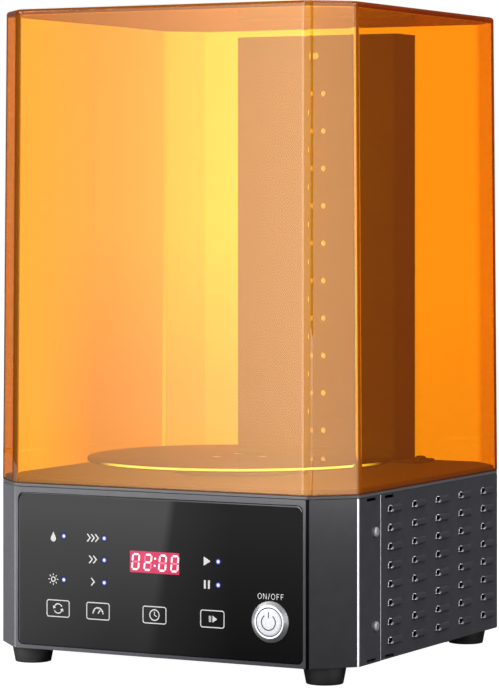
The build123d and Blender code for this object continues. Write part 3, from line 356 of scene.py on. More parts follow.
def relief(tree, scale_mm, height_mm, strength=1.0, radius_mm=0.0):
    """Fine relief for a surface, on softened edges if a radius is given."""
    place = add_node(tree, "ShaderNodeTexCoord")
    grain = add_node(tree, "ShaderNodeTexNoise", {
        "Vector": place.outputs["Object"], "Scale": 1000.0 / scale_mm, "Detail": 4.0, "Roughness": 0.6,
    })
    bump = add_node(tree, "ShaderNodeBump", {
        "Height": grain.outputs["Fac"], "Distance": height_mm / 1000, "Strength": strength,
    })
    if radius_mm:
        softened = add_node(tree, "ShaderNodeBevel", {"Radius": radius_mm / 1000}, samples=4)
        tree.links.new(softened.outputs[0], bump.inputs["Normal"])
    return bump


def uneven_finish(name, colour, uneven, patch_mm, skin_inputs, grain=None):
    """A finish whose colour varies by uneven over patches patch_mm across; grain is what relief takes."""
    material, tree = blank_material(name)
    shade = noise_shade(tree, linear(colour), uneven, patch_mm)[1]
    inputs = {"Base Color": shade, **skin_inputs}
    if grain:
        inputs["Normal"] = relief(tree, *grain)
    surface(tree, add_node(tree, "ShaderNodeBsdfPrincipled", inputs))
    return material


# Powder coat on steel: even dark grey with a faint orange-peel ripple that blurs its reflections. Round the
# tight bend at the front right a dark band of painted shade is laid on, and round the next one a painted highlight.
powder_coat, tree = blank_material("powder_coated_steel")
speckle, shade = noise_shade(tree, linear("#58585e"), 0.06, 9.0)
coat_rough = add_node(tree, "ShaderNodeMapRange", {"Value": speckle, "To Min": 0.33, "To Max": 0.42})
facing_way = add_node(tree, "ShaderNodeSeparateXYZ", {0: add_node(tree, "ShaderNodeNewGeometry").outputs["Normal"]})
forward = add_node(tree, "ShaderNodeMath", {0: facing_way.outputs["Y"], 1: -1.0}, operation="MULTIPLY")
turned_by = add_node(tree, "ShaderNodeMath", {0: facing_way.outputs["X"], 1: forward}, operation="DIVIDE")
# the dark band is painted shade, found from the bend's normals: near black, with little coat
past_front = add_node(tree, "ShaderNodeMapRange", {"Value": turned_by, "From Min": 0.03, "From Max": 0.12})
before_corner = add_node(tree, "ShaderNodeMapRange", {"Value": turned_by, "From Min": 0.95, "From Max": 0.75})
at_right = add_node(tree, "ShaderNodeMath", {0: facing_way.outputs["X"], 1: 0.0}, operation="GREATER_THAN")
on_bend = add_node(tree, "ShaderNodeMath", {0: past_front, 1: before_corner}, operation="MULTIPLY")
painted_shade_band = add_node(tree, "ShaderNodeMath", {0: on_bend, 1: at_right}, operation="MULTIPLY")
shade_with_painted_band = add_node(tree, "ShaderNodeMix", {0: painted_shade_band, 6: shade, 7: (0.004, 0.004, 0.0045, 1)}, data_type="RGBA")
# the bright band is a painted highlight on the next bend: near white and partly metallic
past_corner = add_node(tree, "ShaderNodeMapRange", {"Value": turned_by, "From Min": 1.05, "From Max": 1.25})
before_side = add_node(tree, "ShaderNodeMapRange", {"Value": turned_by, "From Min": 12.0, "From Max": 5.0})
on_edge = add_node(tree, "ShaderNodeMath", {0: past_corner, 1: before_side}, operation="MULTIPLY")
painted_highlight_band = add_node(tree, "ShaderNodeMath", {0: on_edge, 1: at_right}, operation="MULTIPLY")
edge_shade = add_node(tree, "ShaderNodeMix", {
    0: painted_highlight_band, 6: shade_with_painted_band.outputs[2], 7: linear("#f4f4f6"),
}, data_type="RGBA")
coat_gloss = add_node(tree, "ShaderNodeMapRange", {"Value": painted_shade_band, "To Min": 1.0, "To Max": 0.08})
coat_skin = add_node(tree, "ShaderNodeBsdfPrincipled", {
    "Base Color": edge_shade.outputs[2], "Metallic": painted_highlight_band, "Roughness": coat_rough, "Specular IOR Level": 0.0,
    "Coat Weight": coat_gloss, "Coat Roughness": 0.14, "Coat IOR": 1.65,
    "Normal": relief(tree, 0.8, 0.010, 0.4, 0.35),
})
surface(tree, coat_skin)


def link_piece(name, mesh, body, material, *nodes, slot=None):
    """Puts a finished mesh in the scene: it rides on body and stands for the named CAD nodes."""
    piece = in_scene(name, mesh)
    if material is not None:
        mesh.materials.clear()
        mesh.materials.append(material)
    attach(piece, body)
    if nodes:
        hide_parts(*nodes)
    return piece


def settled(holder):
    """The plain mesh that an object's modifiers make; the object itself goes."""
    mesh = bpy.data.meshes.new_from_object(holder.evaluated_get(bpy.context.evaluated_depsgraph_get()))
    bpy.data.objects.remove(holder)
    return mesh


def smooth_mesh(mesh, angle):
    """Smooth shading with the creases sharper than angle kept."""
    mesh.polygons.foreach_set("use_smooth", [True] * len(mesh.polygons))
    mesh.set_sharp_from_angle(angle=radians(angle))


def weighted(mesh):
    """The mesh with flat faces kept flat beside its rounded edges."""
    holder = in_scene("holder", mesh)
    modifier = holder.modifiers.new("weights", "WEIGHTED_NORMAL")
    modifier.keep_sharp = True
    modifier.weight = 100
    return settled(holder)


def from_solid(node_name):
    """A copy of a CAD node's mesh with its triangles joined up and its bends shaded smooth."""
    mesh = frame["nodes"][node_name].data.copy()
    joined = bmesh.new()
    joined.from_mesh(mesh)
    bmesh.ops.remove_doubles(joined, verts=joined.verts, dist=1e-6)
    bmesh.ops.dissolve_limit(joined, angle_limit=radians(0.5), verts=joined.verts, edges=joined.edges)
    joined.to_mesh(mesh)
    joined.free()
    smooth_mesh(mesh, 30)
    return weighted(mesh)


front_frame = link_piece(
    "front_frame", from_solid("front_shell"), "machine", powder_coat, "front_shell", slot="painted_shell",
)
light_only(front_frame, frame_lamp)


def octagon_corners(inset):
    """The eight corners of the machine's plan at a distance inside its outline, counterclockwise."""
    half = half_width - inset
    near = half - (corner_leg - inset * (2 - sqrt(2)))
    flat = [
        (near, -half), (half, -near), (half, near), (near, half), (-near, half), (-half, near), (-half, -near),
        (-near, -half),
    ]
    return [Vector((x, y, 0)) for x, y in flat]


def rounded(corners, radius, steps=6, ends=None):
    """The corners' outline with each corner rounded, and a guard point before and after each bend.
    With ends (first, last) it is an open run between those two points."""
    guard = 0.0004
    run = [Vector(ends[0])] if ends else []
    count = len(corners)
    for i, corner in enumerate(corners):
        before = corners[i - 1] if i or not ends else Vector(ends[0])
        after = corners[(i + 1) % count] if i < count - 1 or not ends else Vector(ends[1])
        to_before = (before - corner).normalized()
        to_after = (after - corner).normalized()
        turn = pi - to_before.angle(to_after)
        tangent = radius * tan(turn / 2)
        centre = corner + (to_before + to_after).normalized() * (radius / cos(turn / 2))
        start = corner + to_before * tangent - centre
        end = corner + to_after * tangent - centre
        run.append(corner + to_before * (tangent + guard))
        for k in range(steps + 1):
            share = k / steps
            run.append(centre + (start * sin((1 - share) * turn) + end * sin(share * turn)) / sin(turn))
        run.append(corner + to_after * (tangent + guard))
    if ends:
        run.append(Vector(ends[1]))
    return run


def skin_rings(rings):
    """A solid through rings of points, each beside the last, closed at both ends."""
    built = bmesh.new()
    rows = [[built.verts.new(p) for p in ring] for ring in rings]
    count = len(rings[0])
    for low, high in zip(rows, rows[1:]):
        for i in range(count):
            j = (i + 1) % count
            built.faces.new((low[i], low[j], high[j], high[i]))
    built.faces.new(list(reversed(rows[0])))
    built.faces.new(rows[-1])
    return built


def to_mesh(built, name, angle=30):
    """Turns a finished bmesh into a mesh with outward faces."""
    bmesh.ops.recalc_face_normals(built, faces=built.faces)
    mesh = bpy.data.meshes.new(name)
    built.to_mesh(mesh)
    built.free()
    smooth_mesh(mesh, angle)
    return weighted(mesh)


# The rear sheet is bent round its corners as one strip, then its louvres are pressed by a press tool.
wall_low, wall_high = 0.010, 0.100
rear_start = seam_y + 0.00015
lip = 0.008
# the sheet's cut edges are rounded by half its thickness, in two steps
edge_round, edge_step = 0.0005, 0.00015


def rear_run(inset, z):
    """The rear sheet's line at a height, from the right seam round the back to the left seam."""
    half = half_width - inset
    run_start = rear_start + edge_round
    bends = rounded(
        octagon_corners(inset)[2:6], max(bend - inset, 0.0003), ends=((half, run_start, 0), (-half, run_start, 0)),
    )
    rolled = inset < sheet / 2
    edge = [(half - rolled * edge_round, rear_start), (half - rolled * edge_step, rear_start + edge_step)]
    line = [*edge, *[(p.x, p.y) for p in bends], *[(-x, y) for x, y in reversed(edge)]]
    return [Vector((x, y, z)) for x, y in line]


# its runs, in turn round the section of the sheet with a lip turned in above and below
sheet_section = [
    (sheet + lip, wall_low + 2 * sheet), (sheet, wall_low + 2 * sheet), (sheet, wall_high - sheet),
    (sheet + lip, wall_high - sheet), (sheet + lip, wall_high), (edge_round, wall_high),
    (edge_step, wall_high - edge_step), (0, wall_high - edge_round), (0, wall_low + edge_round),
    (edge_step, wall_low + edge_step), (edge_round, wall_low), (sheet, wall_low), (sheet, wall_low + sheet),
    (sheet + lip, wall_low + sheet),
]
rear_runs = [rear_run(inset, z) for inset, z in sheet_section]
rear_blank = to_mesh(skin_rings(list(zip(*rear_runs))), "rear_sheet_blank")
rear_blank.materials.append(powder_coat)
rear_sheet = in_scene("rear_sheet_blank", rear_blank)

# One louvre: a pressed blister, open along its lower edge, its steep ends run down into the sheet.
louvre_length, louvre_height, louvre_proud = 0.019, 0.0036, 0.0016
louvre_thickness = 0.00035
slope_length, end_lean, sunk = 0.0023, 0.0016, 0.0001
up_steps = 12
end_steps_mm = [0.0, 0.15, 0.3, 0.5, 0.7, 0.9, 1.1, 1.3, 1.5, 1.7, 1.9, 2.1, 2.3, 4.0, 6.0]
louvre = bmesh.new()
layers = []
for thickness in (0.0, louvre_thickness):
    layer = []
    for j in range(up_steps + 1):
        share_up = j / up_steps
        reach = louvre_length / 2 - end_lean * share_up ** 1.5 - thickness
        stations = [-reach + step / 1000 for step in end_steps_mm]
        row = []
        for y in [*stations, 0.0, *[-station for station in reversed(stations)]]:
            risen = 0.5 - 0.5 * cos(pi * min(1.0, (reach - abs(y)) / slope_length))
            height_share = sqrt(max(0.0, 1 - (share_up * 0.985) ** 5))
            x = (louvre_proud + sunk) * risen * height_share - thickness - sunk
            row.append(louvre.verts.new((x, y, (louvre_height - thickness) * share_up)))
        layer.append(row)
    layers.append(layer)
# At the front end, where the tool bites, a bright finish is laid on as painted highlights: a crescent before
# the mouth and a spot behind it.
painted_highlight_coat = uneven_finish(
    "burnished_powder_coat", "#eeeef0", 0.08, 1.0,
    {"Metallic": 0.35, "Roughness": 0.35, "Coat Weight": 0.6, "Coat Roughness": 0.15},
)
highlight_crescent, highlight_spot_along, highlight_spot_up = range(1, 3), range(9, 13), range(4)
# faces in the crescent and the spot take the painted highlight finish
for layer in layers:
    for j, (low, high) in enumerate(zip(layer, layer[1:])):
        for i in range(len(low) - 1):
            face = louvre.faces.new((low[i], low[i + 1], high[i + 1], high[i]))
            if layer is layers[0] and (i in highlight_crescent or (i in highlight_spot_along and j in highlight_spot_up)):
                face.material_index = 1
rims = [
    [*layer[0], *[row[-1] for row in layer[1:]], *reversed(layer[-1][:-1]), *[row[0] for row in reversed(layer[1:-1])]]
    for layer in layers
]
for i in range(len(rims[0])):
    louvre.faces.new((rims[0][i - 1], rims[0][i], rims[1][i], rims[1][i - 1]))
louvre_mesh = to_mesh(louvre, "louvre_blister", 50)
for material in (powder_coat, painted_highlight_coat):
    louvre_mesh.materials.append(material)
louvre_object = in_scene("louvre_blister", louvre_mesh)
# the press tears a narrow mouth in each end
mouth_back, mouth_front = -0.0001, 0.003
mouths = bmesh.new()
for way in (-1, 1):
    mouth_rings = [
        [
            Vector((x, way * y, z))
            for x, y in ((mouth_back, outer), (mouth_back, inner), (mouth_front, inner), (mouth_front, outer))
        ]
        for outer, inner, z in ((0.0089, 0.0076, 0.0005), (0.0078, 0.0059, 0.0031))
    ]
    mouths.from_mesh(to_mesh(skin_rings(mouth_rings), "mouth"))
mouth_object = in_scene("mouths", to_mesh(mouths, "mouths"))


def cut_by(holder, tool):
    """Cuts the tool object's shape out of the holder."""
    modifier = holder.modifiers.new("cut", "BOOLEAN")
    modifier.object, modifier.operation, modifier.solver = tool, "DIFFERENCE", "EXACT"


def cut_out(mesh, tool_mesh):
    """The mesh with the tool's shape cut out of it."""
    holder, tool = in_scene("blank", mesh), in_scene("tool", tool_mesh)
    cut_by(holder, tool)
    cut = settled(holder)
    bpy.data.objects.remove(tool)
    smooth_mesh(cut, 35)
    return cut


def block(built, centre, size):
    """Adds a box."""
    bmesh.ops.create_cube(built, size=1.0, matrix=Matrix.Translation(centre) @ Matrix.Diagonal((*size, 1)))


def round_punch(built, radius, depth, segments, place, turn=0.0):
    """Adds a round punch, turned about X."""
    bmesh.ops.create_cone(
        built, cap_ends=True, segments=segments, radius1=radius, radius2=radius, depth=depth,
        matrix=Matrix.Translation(place) @ Matrix.Rotation(turn, 4, "X"),
    )


cut_by(louvre_object, mouth_object)


def new_tree(name, *inputs):
    """A geometry node tree with the given (name, kind, value) inputs and one geometry output."""
    tree = bpy.data.node_groups.new(name, "GeometryNodeTree")
    for label, kind, value in inputs:
        socket = tree.interface.new_socket(name=label, in_out="INPUT", socket_type=kind)
        if value is not None:
            socket.default_value = value
    tree.interface.new_socket(name="Geometry", in_out="OUTPUT", socket_type="NodeSocketGeometry")
    return tree, tree.nodes.new("NodeGroupInput").outputs


def grown(tree, name, values, base=None):
    """The mesh that a geometry node tree makes, with its named inputs set before it runs."""
    holder = base or in_scene(name, bpy.data.meshes.new(name))
    modifier = holder.modifiers.new(name, "NODES")
    modifier.node_group = tree
    for socket in tree.interface.items_tree:
        if socket.in_out == "INPUT" and socket.name in values:
            modifier[socket.identifier] = values[socket.name]
    mesh = settled(holder)
    mesh.name = name
    return mesh


louvre_columns, louvre_rows = 5, 8
louvre_pitch_along, louvre_pitch_up = 0.031, 0.01027
first_along, first_up = -0.047, 0.0182
press, pressed = new_tree(
    "louvre_press",
    ("Geometry", "NodeSocketGeometry", None), ("Louvre", "NodeSocketObject", None),
    ("Columns", "NodeSocketInt", louvre_columns), ("Rows", "NodeSocketInt", louvre_rows),
    ("Pitch along", "NodeSocketFloat", louvre_pitch_along), ("Pitch up", "NodeSocketFloat", louvre_pitch_up),
    ("Middle along", "NodeSocketFloat", 0.0), ("Middle up", "NodeSocketFloat", 0.0),
    ("Side", "NodeSocketFloat", half_width),
)
columns_less_one = add_node(press, "ShaderNodeMath", {0: pressed["Columns"], 1: 1.0}, operation="SUBTRACT")
rows_less_one = add_node(press, "ShaderNodeMath", {0: pressed["Rows"], 1: 1.0}, operation="SUBTRACT")
reach_along = add_node(press, "ShaderNodeMath", {0: columns_less_one, 1: pressed["Pitch along"]}, operation="MULTIPLY")
reach_up = add_node(press, "ShaderNodeMath", {0: rows_less_one, 1: pressed["Pitch up"]}, operation="MULTIPLY")
lattice = add_node(press, "GeometryNodeMeshGrid", {
    "Size X": reach_along, "Size Y": reach_up, "Vertices X": pressed["Columns"], "Vertices Y": pressed["Rows"],
})
louvre_shape = add_node(press, "GeometryNodeObjectInfo", {"Object": pressed["Louvre"]}).outputs["Geometry"]
slit_shape = add_node(press, "GeometryNodeMeshCube", {"Size": (0.004, 0.0178, 0.0027)})
slit_moved = add_node(press, "GeometryNodeTransform", {"Geometry": slit_shape, "Translation": (0, 0, 0.00165)})
slits = add_node(press, "GeometryNodeJoinGeometry")
louvres = add_node(press, "GeometryNodeJoinGeometry")
for way, turn in ((1.0, 0.0), (-1.0, pi)):
    side_x = add_node(press, "ShaderNodeMath", {0: pressed["Side"], 1: way}, operation="MULTIPLY")
    spot = add_node(press, "ShaderNodeCombineXYZ", {
        "X": side_x, "Y": pressed["Middle along"], "Z": pressed["Middle up"],
    })
    on_wall = add_node(press, "GeometryNodeTransform", {
        "Geometry": lattice, "Translation": spot, "Rotation": (pi / 2, 0, pi / 2),
    })
    # the louvres on the left mirror those on the right
    for shape, store, spin, mirror in ((louvre_shape, louvres, 0.0, way), (slit_moved, slits, turn, 1.0)):
        placed = add_node(press, "GeometryNodeInstanceOnPoints", {
            "Points": on_wall, "Instance": shape, "Rotation": (0, 0, spin), "Scale": (mirror, 1, 1),
        })
        press.links.new(placed.outputs[0], store.inputs[0])
slit_solids = add_node(press, "GeometryNodeRealizeInstances", {0: slits})
slit_sheet = add_node(
    press, "GeometryNodeMeshBoolean", {"Mesh 1": pressed["Geometry"]}, operation="DIFFERENCE", solver="EXACT",
)
press.links.new(slit_solids.outputs[0], slit_sheet.inputs["Mesh 2"])
louvre_solids = add_node(press, "GeometryNodeRealizeInstances", {0: louvres})
louvred = add_node(press, "GeometryNodeJoinGeometry", {0: slit_sheet})
press.links.new(louvre_solids.outputs[0], louvred.inputs[0])
add_node(press, "NodeGroupOutput", {0: louvred})

# the relief slots at the lips' ends and the inlet's hole are punched first
punches = bmesh.new()
for slot_z in (0.0984, 0.0116):
    block(punches, (0, seam_y + 0.011, slot_z), (0.3, 0.011, 0.0016))
round_punch(punches, 0.0056, 0.01, 40, (-0.075, half_width, 0.032), pi / 2)
punch_object = in_scene("punches", to_mesh(punches, "punches"))
cut_by(rear_sheet, punch_object)
louvre_middle = {
    "Middle along": first_along + (louvre_columns - 1) / 2 * louvre_pitch_along,
    "Middle up": first_up + (louvre_rows - 1) / 2 * louvre_pitch_up,
}
rear_mesh = grown(press, "louvred_rear_shell", {"Louvre": louvre_object, **louvre_middle}, base=rear_sheet)
for tool in (punch_object, louvre_object, mouth_object):
    bpy.data.objects.remove(tool)
outward = bmesh.new()
outward.from_mesh(rear_mesh)
bmesh.ops.recalc_face_normals(outward, faces=outward.faces)
outward.to_mesh(rear_mesh)
outward.free()
smooth_mesh(rear_mesh, 35)
link_piece("louvred_rear_shell", weighted(rear_mesh), "machine", None, "rear_shell", slot="painted_shell")


# Pan-head machine screws with a cross recess: bright zinc, two on each side, and blackened ones inside.
bright_zinc = uneven_finish(
    "bright_zinc_plated_screw", "#c6c6ca", 0.05, 1.5, {"Metallic": 0.6, "Roughness": 0.5}, (0.4, 0.006, 0.4),
)
black_oxide, tree = blank_material("blackened_steel_screw")
surface(tree, add_node(tree, "ShaderNodeBsdfPrincipled", {
    "Base Color": linear("#77777a"), "Metallic": 1.0, "Roughness": 0.3, "Normal": relief(tree, 0.5, 0.01, 0.4),
}))


def unit_circle(count):
    """Points round a circle of radius 1."""
    return [(cos(2 * pi * i / count), sin(2 * pi * i / count)) for i in range(count)]


def pan_head(radius, height):
    """A screw head about +Z with a domed top and a cross recess."""
    around, dome_steps = 40, 7
    rings = [[(radius * u, radius * v, 0) for u, v in unit_circle(around)]]
    for k in range(dome_steps):
        a = k / dome_steps * pi / 2
        r = radius * (1 - (1 - cos(a)) * 0.85)
        z = height * (0.35 + 0.65 * sin(a))
        rings.append([(r * u, r * v, z) for u, v in unit_circle(around)])
    arm, slim = radius * 0.6, radius * 0.13
    cross = [(arm, -slim), (arm, slim), (slim, slim), (slim, arm), (-slim, arm), (-slim, slim)]
    cross += [(-x, -y) for x, y in cross]
    driver = skin_rings([[(x, y, z) for x, y in cross] for z in (height * 0.5, height * 1.5)])
    bmesh.ops.rotate(driver, verts=driver.verts, matrix=Matrix.Rotation(0.35, 3, "Z"))
    return cut_out(to_mesh(skin_rings(rings), "pan_head", 40), to_mesh(driver, "driver"))


def placed_copies(mesh, matrices, name):
    """One mesh of several copies, each at its own matrix."""
    built = bmesh.new()
    for matrix in matrices:
        part = mesh.copy()
        part.transform(matrix)
        built.from_mesh(part)
        bpy.data.meshes.remove(part)
    joined = bpy.data.meshes.new(name)
    built.to_mesh(joined)
    built.free()
    smooth_mesh(joined, 35)
    return joined


def facing(place, normal):
    """Matrix that puts +Z along normal at place."""
    return Matrix.Translation(place) @ Vector(normal).to_track_quat("Z", "Y").to_matrix().to_4x4()


side_screw = pan_head(0.0027, 0.0016)
side_places = [
    facing((x, seam_y - 0.006, z), (1 if x > 0 else -1, 0, 0))
    for x in (-half_width, half_width) for z in (0.0295, 0.0805)
]
link_piece(
    "side_screw_heads", placed_copies(side_screw, side_places, "side_screw_heads"), "machine", bright_zinc,
    "shell_screws", slot="shell_screw",
)

# ================================================================ base plate and feet
# A flat steel plate closes the bottom, with four turned rubber feet screwed on from below.
plate_coat = uneven_finish("powder_coated_base_plate", "#3a3a3e", 0.06, 9.0, {"Roughness": 0.5}, (0.8, 0.015, 0.5))
# Moulded rubber: matt black with a fine mould texture and a dusty sheen.
foot_rubber = uneven_finish("moulded_black_rubber", "#19191b", 0.12, 4.0, {"Roughness": 0.6}, (0.35, 0.02, 0.6))


def turned(profile, name, around=64, angle=35):
    """A solid of revolution about +Z from (radius, height) points, closed on itself or on the axis."""
    on_axis = 1e-7
    built = bmesh.new()
    rings = []
    for radius, height in profile:
        points = [(0, 0)] if radius < on_axis else unit_circle(around)
        rings.append([built.verts.new((radius * u, radius * v, height)) for u, v in points])
    loop = list(zip(rings, rings[1:]))
    if profile[0][0] > on_axis and profile[-1][0] > on_axis:
        loop.append((rings[-1], rings[0]))
    for low, high in loop:
        for i in range(around):
            j = i + 1
            corners = [low[i % len(low)], low[j % len(low)], high[j % len(high)], high[i % len(high)]]
            unique = list(dict.fromkeys(corners))
            if len(unique) > 2:
                built.faces.new(unique)
    return to_mesh(built, name, angle)


foot_profile = [
    (0.0045, 0.0002), (0.0094, 0.0), (0.0099, 0.0001), (0.0101, 0.0004), (0.0102, 0.0008), (0.0119, 0.0096),
    (0.0117, 0.0100), (0.0021, 0.0100), (0.0021, 0.0065), (0.0045, 0.0065),
]
foot_places = [Matrix.Translation((x, y, 0)) for x in (-0.092, 0.092) for y in (-0.092, 0.092)]
link_piece(
    "turned_feet", placed_copies(turned(foot_profile, "foot"), foot_places, "turned_feet"), "machine", foot_rubber,
    "rubber_feet", slot="rubber_foot",
)

# ================================================================ deck
# Moulded ABS deck: its rim caps the shells and carries the cover, its platform stands up inside.
deck_abs = uneven_finish("moulded_grey_abs_deck", "#78777a", 0.05, 14.0, {"Roughness": 0.38}, (0.5, 0.01, 0.5))


def plan_ring(inset, radius, z):
    """Closed ring of the plan at a distance inside the outline, at a height."""
    return [Vector((p.x, p.y, z)) for p in rounded(octagon_corners(inset), radius)]


# the rim lies on the shells' lips, and inside it the skin is 3 mm thick
rim_width, step_inset, step_bend = 0.011, 0.0034, 0.005
rim_low, rim_top, step_top = 0.1001, 0.102, 0.105
deck_section = [
    (rim_width, bend, rim_top), (rim_width, bend, rim_low), (0.0003, bend, rim_low), (0.0, bend, rim_low + 0.0003),
    (0.0, bend, rim_top - 0.0006), (0.0002, bend, rim_top - 0.0002), (0.0006, bend, rim_top),
    (step_inset, step_bend, rim_top), (step_inset, step_bend, step_top - 0.0008),
    (step_inset + 0.0002, step_bend, step_top - 0.0003), (step_inset + 0.0006, step_bend, step_top),
    (step_inset + 0.0010, step_bend, step_top),
]
# a shallow recess takes the turntable's base, and the lamps' lead goes through the round hole behind
turntable_y = -0.017
bores = bmesh.new()
round_punch(bores, 0.0383, 0.001, 128, (0, turntable_y, step_top))
round_punch(bores, 0.006, 0.02, 48, (0, 0.090, step_top))
deck_blank = to_mesh(skin_rings([plan_ring(*step) for step in deck_section]), "moulded_deck")
deck_mesh = weighted(cut_out(deck_blank, to_mesh(bores, "bores")))
link_piece("moulded_deck", deck_mesh, "machine", deck_abs, "deck_plate", slot="deck")

# ================================================================ touch panel
# Chemically strengthened glass, 3 mm, printed black on its back; the marks are gaps in the black
# with white ink behind them, and the display and the lamps shine through.
glass_back, glass_front = -0.1093, -0.1123
black_glass, tree = blank_material("back_printed_black_glass")
glass_place = add_node(tree, "ShaderNodeTexCoord").outputs["Object"]
smears = add_node(tree, "ShaderNodeTexNoise", {"Vector": glass_place, "Scale": 22.0, "Detail": 5.0})
smear_rough = add_node(tree, "ShaderNodeMapRange", {
    "Value": smears, "From Min": 0.45, "From Max": 0.75, "To Min": 0.004, "To Max": 0.02,
})
surface(tree, add_node(tree, "ShaderNodeBsdfPrincipled", {
    "Base Color": linear("#131315"), "Roughness": smear_rough, "IOR": 1.52,
}))


def rounded_rectangle(width, height, radius, steps=8):
    """Outline points of a rounded rectangle about the origin, counterclockwise."""
    points = []
    for cx, cy, start in ((1, 1, 0), (-1, 1, 90), (-1, -1, 180), (1, -1, 270)):
        for k in range(steps + 1):
            a = radians(start + 90 * k / steps)
            points.append(((width / 2 - radius) * cx + radius * cos(a), (height / 2 - radius) * cy + radius * sin(a)))
    return points


def prism(outline, y_back, y_front, name, edge):
    """A slab facing the user from an (x, z) outline, its front edge softened by a few rings."""
    def ring(inset, y):
        centre_x = sum(p[0] for p in outline) / len(outline)
        centre_z = sum(p[1] for p in outline) / len(outline)
        return [
            Vector((x - inset * (1 if x > centre_x else -1), y, z - inset * (1 if z > centre_z else -1)))
            for x, z in outline
        ]
    rings = [ring(0, y_back), ring(0, y_front + edge)]
    rings += [ring(edge * 0.3, y_front + edge * 0.3), ring(edge, y_front), ring(edge * 2, y_front)]
    return to_mesh(skin_rings(rings), name)


glass_width, glass_height, glass_middle = 0.178, 0.0844, 0.0545
glass_outline = [(x, z + glass_middle) for x, z in rounded_rectangle(glass_width, glass_height, 0.003)]
button_x, button_z = 0.0697, 0.0339
hole = bmesh.new()
round_punch(hole, 0.0097, 0.02, 96, (button_x, -0.111, button_z), pi / 2)
glass_blank = prism(glass_outline, glass_back, glass_front, "printed_panel_glass", 0.0004)
glass_mesh = weighted(cut_out(glass_blank, to_mesh(hole, "hole")))
link_piece("printed_panel_glass", glass_mesh, "machine", black_glass, "touch_glass", slot="panel_glass")

# The white marks: outlined keys with pictograms, and a small sign beside each lamp. They are made as
# flat strokes a few hundredths of a millimetre in front of the glass.
# the white ink also carries a faint painted glow
white_ink_painted_glow = uneven_finish("white_screen_ink", "#f2f2f0", 0.03, 1.0, {
    "Roughness": 0.4, "Emission Color": (1, 1, 1, 1), "Emission Strength": 0.25,
})
ink = bmesh.new()
ink_y = glass_front - 0.00004


def filled(built, points, y=None):
    """A flat filled outline facing the user, from (x, z) points in millimetres."""
    level = ink_y if y is None else y
    built.faces.new([built.verts.new((x / 1000, level, z / 1000)) for x, z in points])


def stroke(built, points, width_mm, closed=False, y=None):
    """A flat line of even width through (x, z) points in millimetres, mitred at its corners."""
    count = len(points)
    left, right = [], []
    for i, point in enumerate(points):
        here = Vector(point)
        ways = []
        if i or closed:
            ways.append((here - Vector(points[i - 1])).normalized())
        if i < count - 1 or closed:
            ways.append((Vector(points[(i + 1) % count]) - here).normalized())
        way = sum(ways, Vector((0, 0))).normalized()
        across = Vector((-way.y, way.x))
        stretch = 1 / max(0.5, sqrt((1 + ways[0].dot(ways[-1])) / 2)) if len(ways) == 2 else 1.0
        left.append(here + across * width_mm / 2 * stretch)
        right.append(here - across * width_mm / 2 * stretch)
    last = count if closed else count - 1
    for i in range(last):
        j = (i + 1) % count
        filled(built, [tuple(left[i]), tuple(left[j]), tuple(right[j]), tuple(right[i])], y)


def arc(cx, cz, radius, start, end, steps=24):
    """Points along an arc, in degrees."""
    return [
        (
            cx + radius * cos(radians(start + (end - start) * k / steps)),
            cz + radius * sin(radians(start + (end - start) * k / steps)),
        )
        for k in range(steps + 1)
    ]


mode_x, speed_x, time_x, start_x, key_z = -63.3, -37.6, -1.8, 34.2, 33.3
for key_x in (mode_x, speed_x, time_x, start_x):
    stroke(
        ink, [(key_x + x * 1000, key_z + z * 1000) for x, z in rounded_rectangle(0.0144, 0.0091, 0.0012, 5)], 0.55,
        closed=True,
    )
# mode: two arrows that chase each other
for turn in (0, 180):
    stroke(ink, arc(mode_x, key_z, 2.6, turn + 25, turn + 155), 0.6)
    tip = arc(mode_x, key_z, 2.6, turn + 155, turn + 155, 1)[0]
    away = radians(turn + 155)
    filled(
        ink,
        [
            (tip[0] + 1.2 * cos(away), tip[1] + 1.2 * sin(away)), (tip[0] - 1.5 * sin(away), tip[1] + 1.5 * cos(away)),
            (tip[0] - 1.2 * cos(away), tip[1] - 1.2 * sin(away)),
        ],
    )
# speed: a dial with a needle
stroke(ink, arc(speed_x, key_z - 1.3, 3.2, -5, 185), 0.6)
stroke(ink, [(speed_x, key_z - 1.3), (speed_x + 1.5, key_z + 0.9)], 0.7)
for spoke in (30, 90, 150):
    stroke(ink, [(speed_x + r * cos(radians(spoke)), key_z - 1.3 + r * sin(radians(spoke))) for r in (2.3, 3.0)], 0.4)
# time: a clock face
stroke(ink, arc(time_x, key_z, 2.9, 0, 360, 40)[:-1], 0.6, closed=True)
stroke(ink, [(time_x, key_z + 1.9), (time_x, key_z), (time_x + 1.4, key_z - 0.8)], 0.55)
# start and pause: two bars and a triangle
for bar_x in (start_x - 2.1, start_x - 1.2):
    filled(ink, [(bar_x, key_z - 1.7), (bar_x + 0.5, key_z - 1.7), (bar_x + 0.5, key_z + 1.7), (bar_x, key_z + 1.7)])
filled(ink, [(start_x + 0.1, key_z - 1.9), (start_x + 3.0, key_z), (start_x + 0.1, key_z + 1.9)])

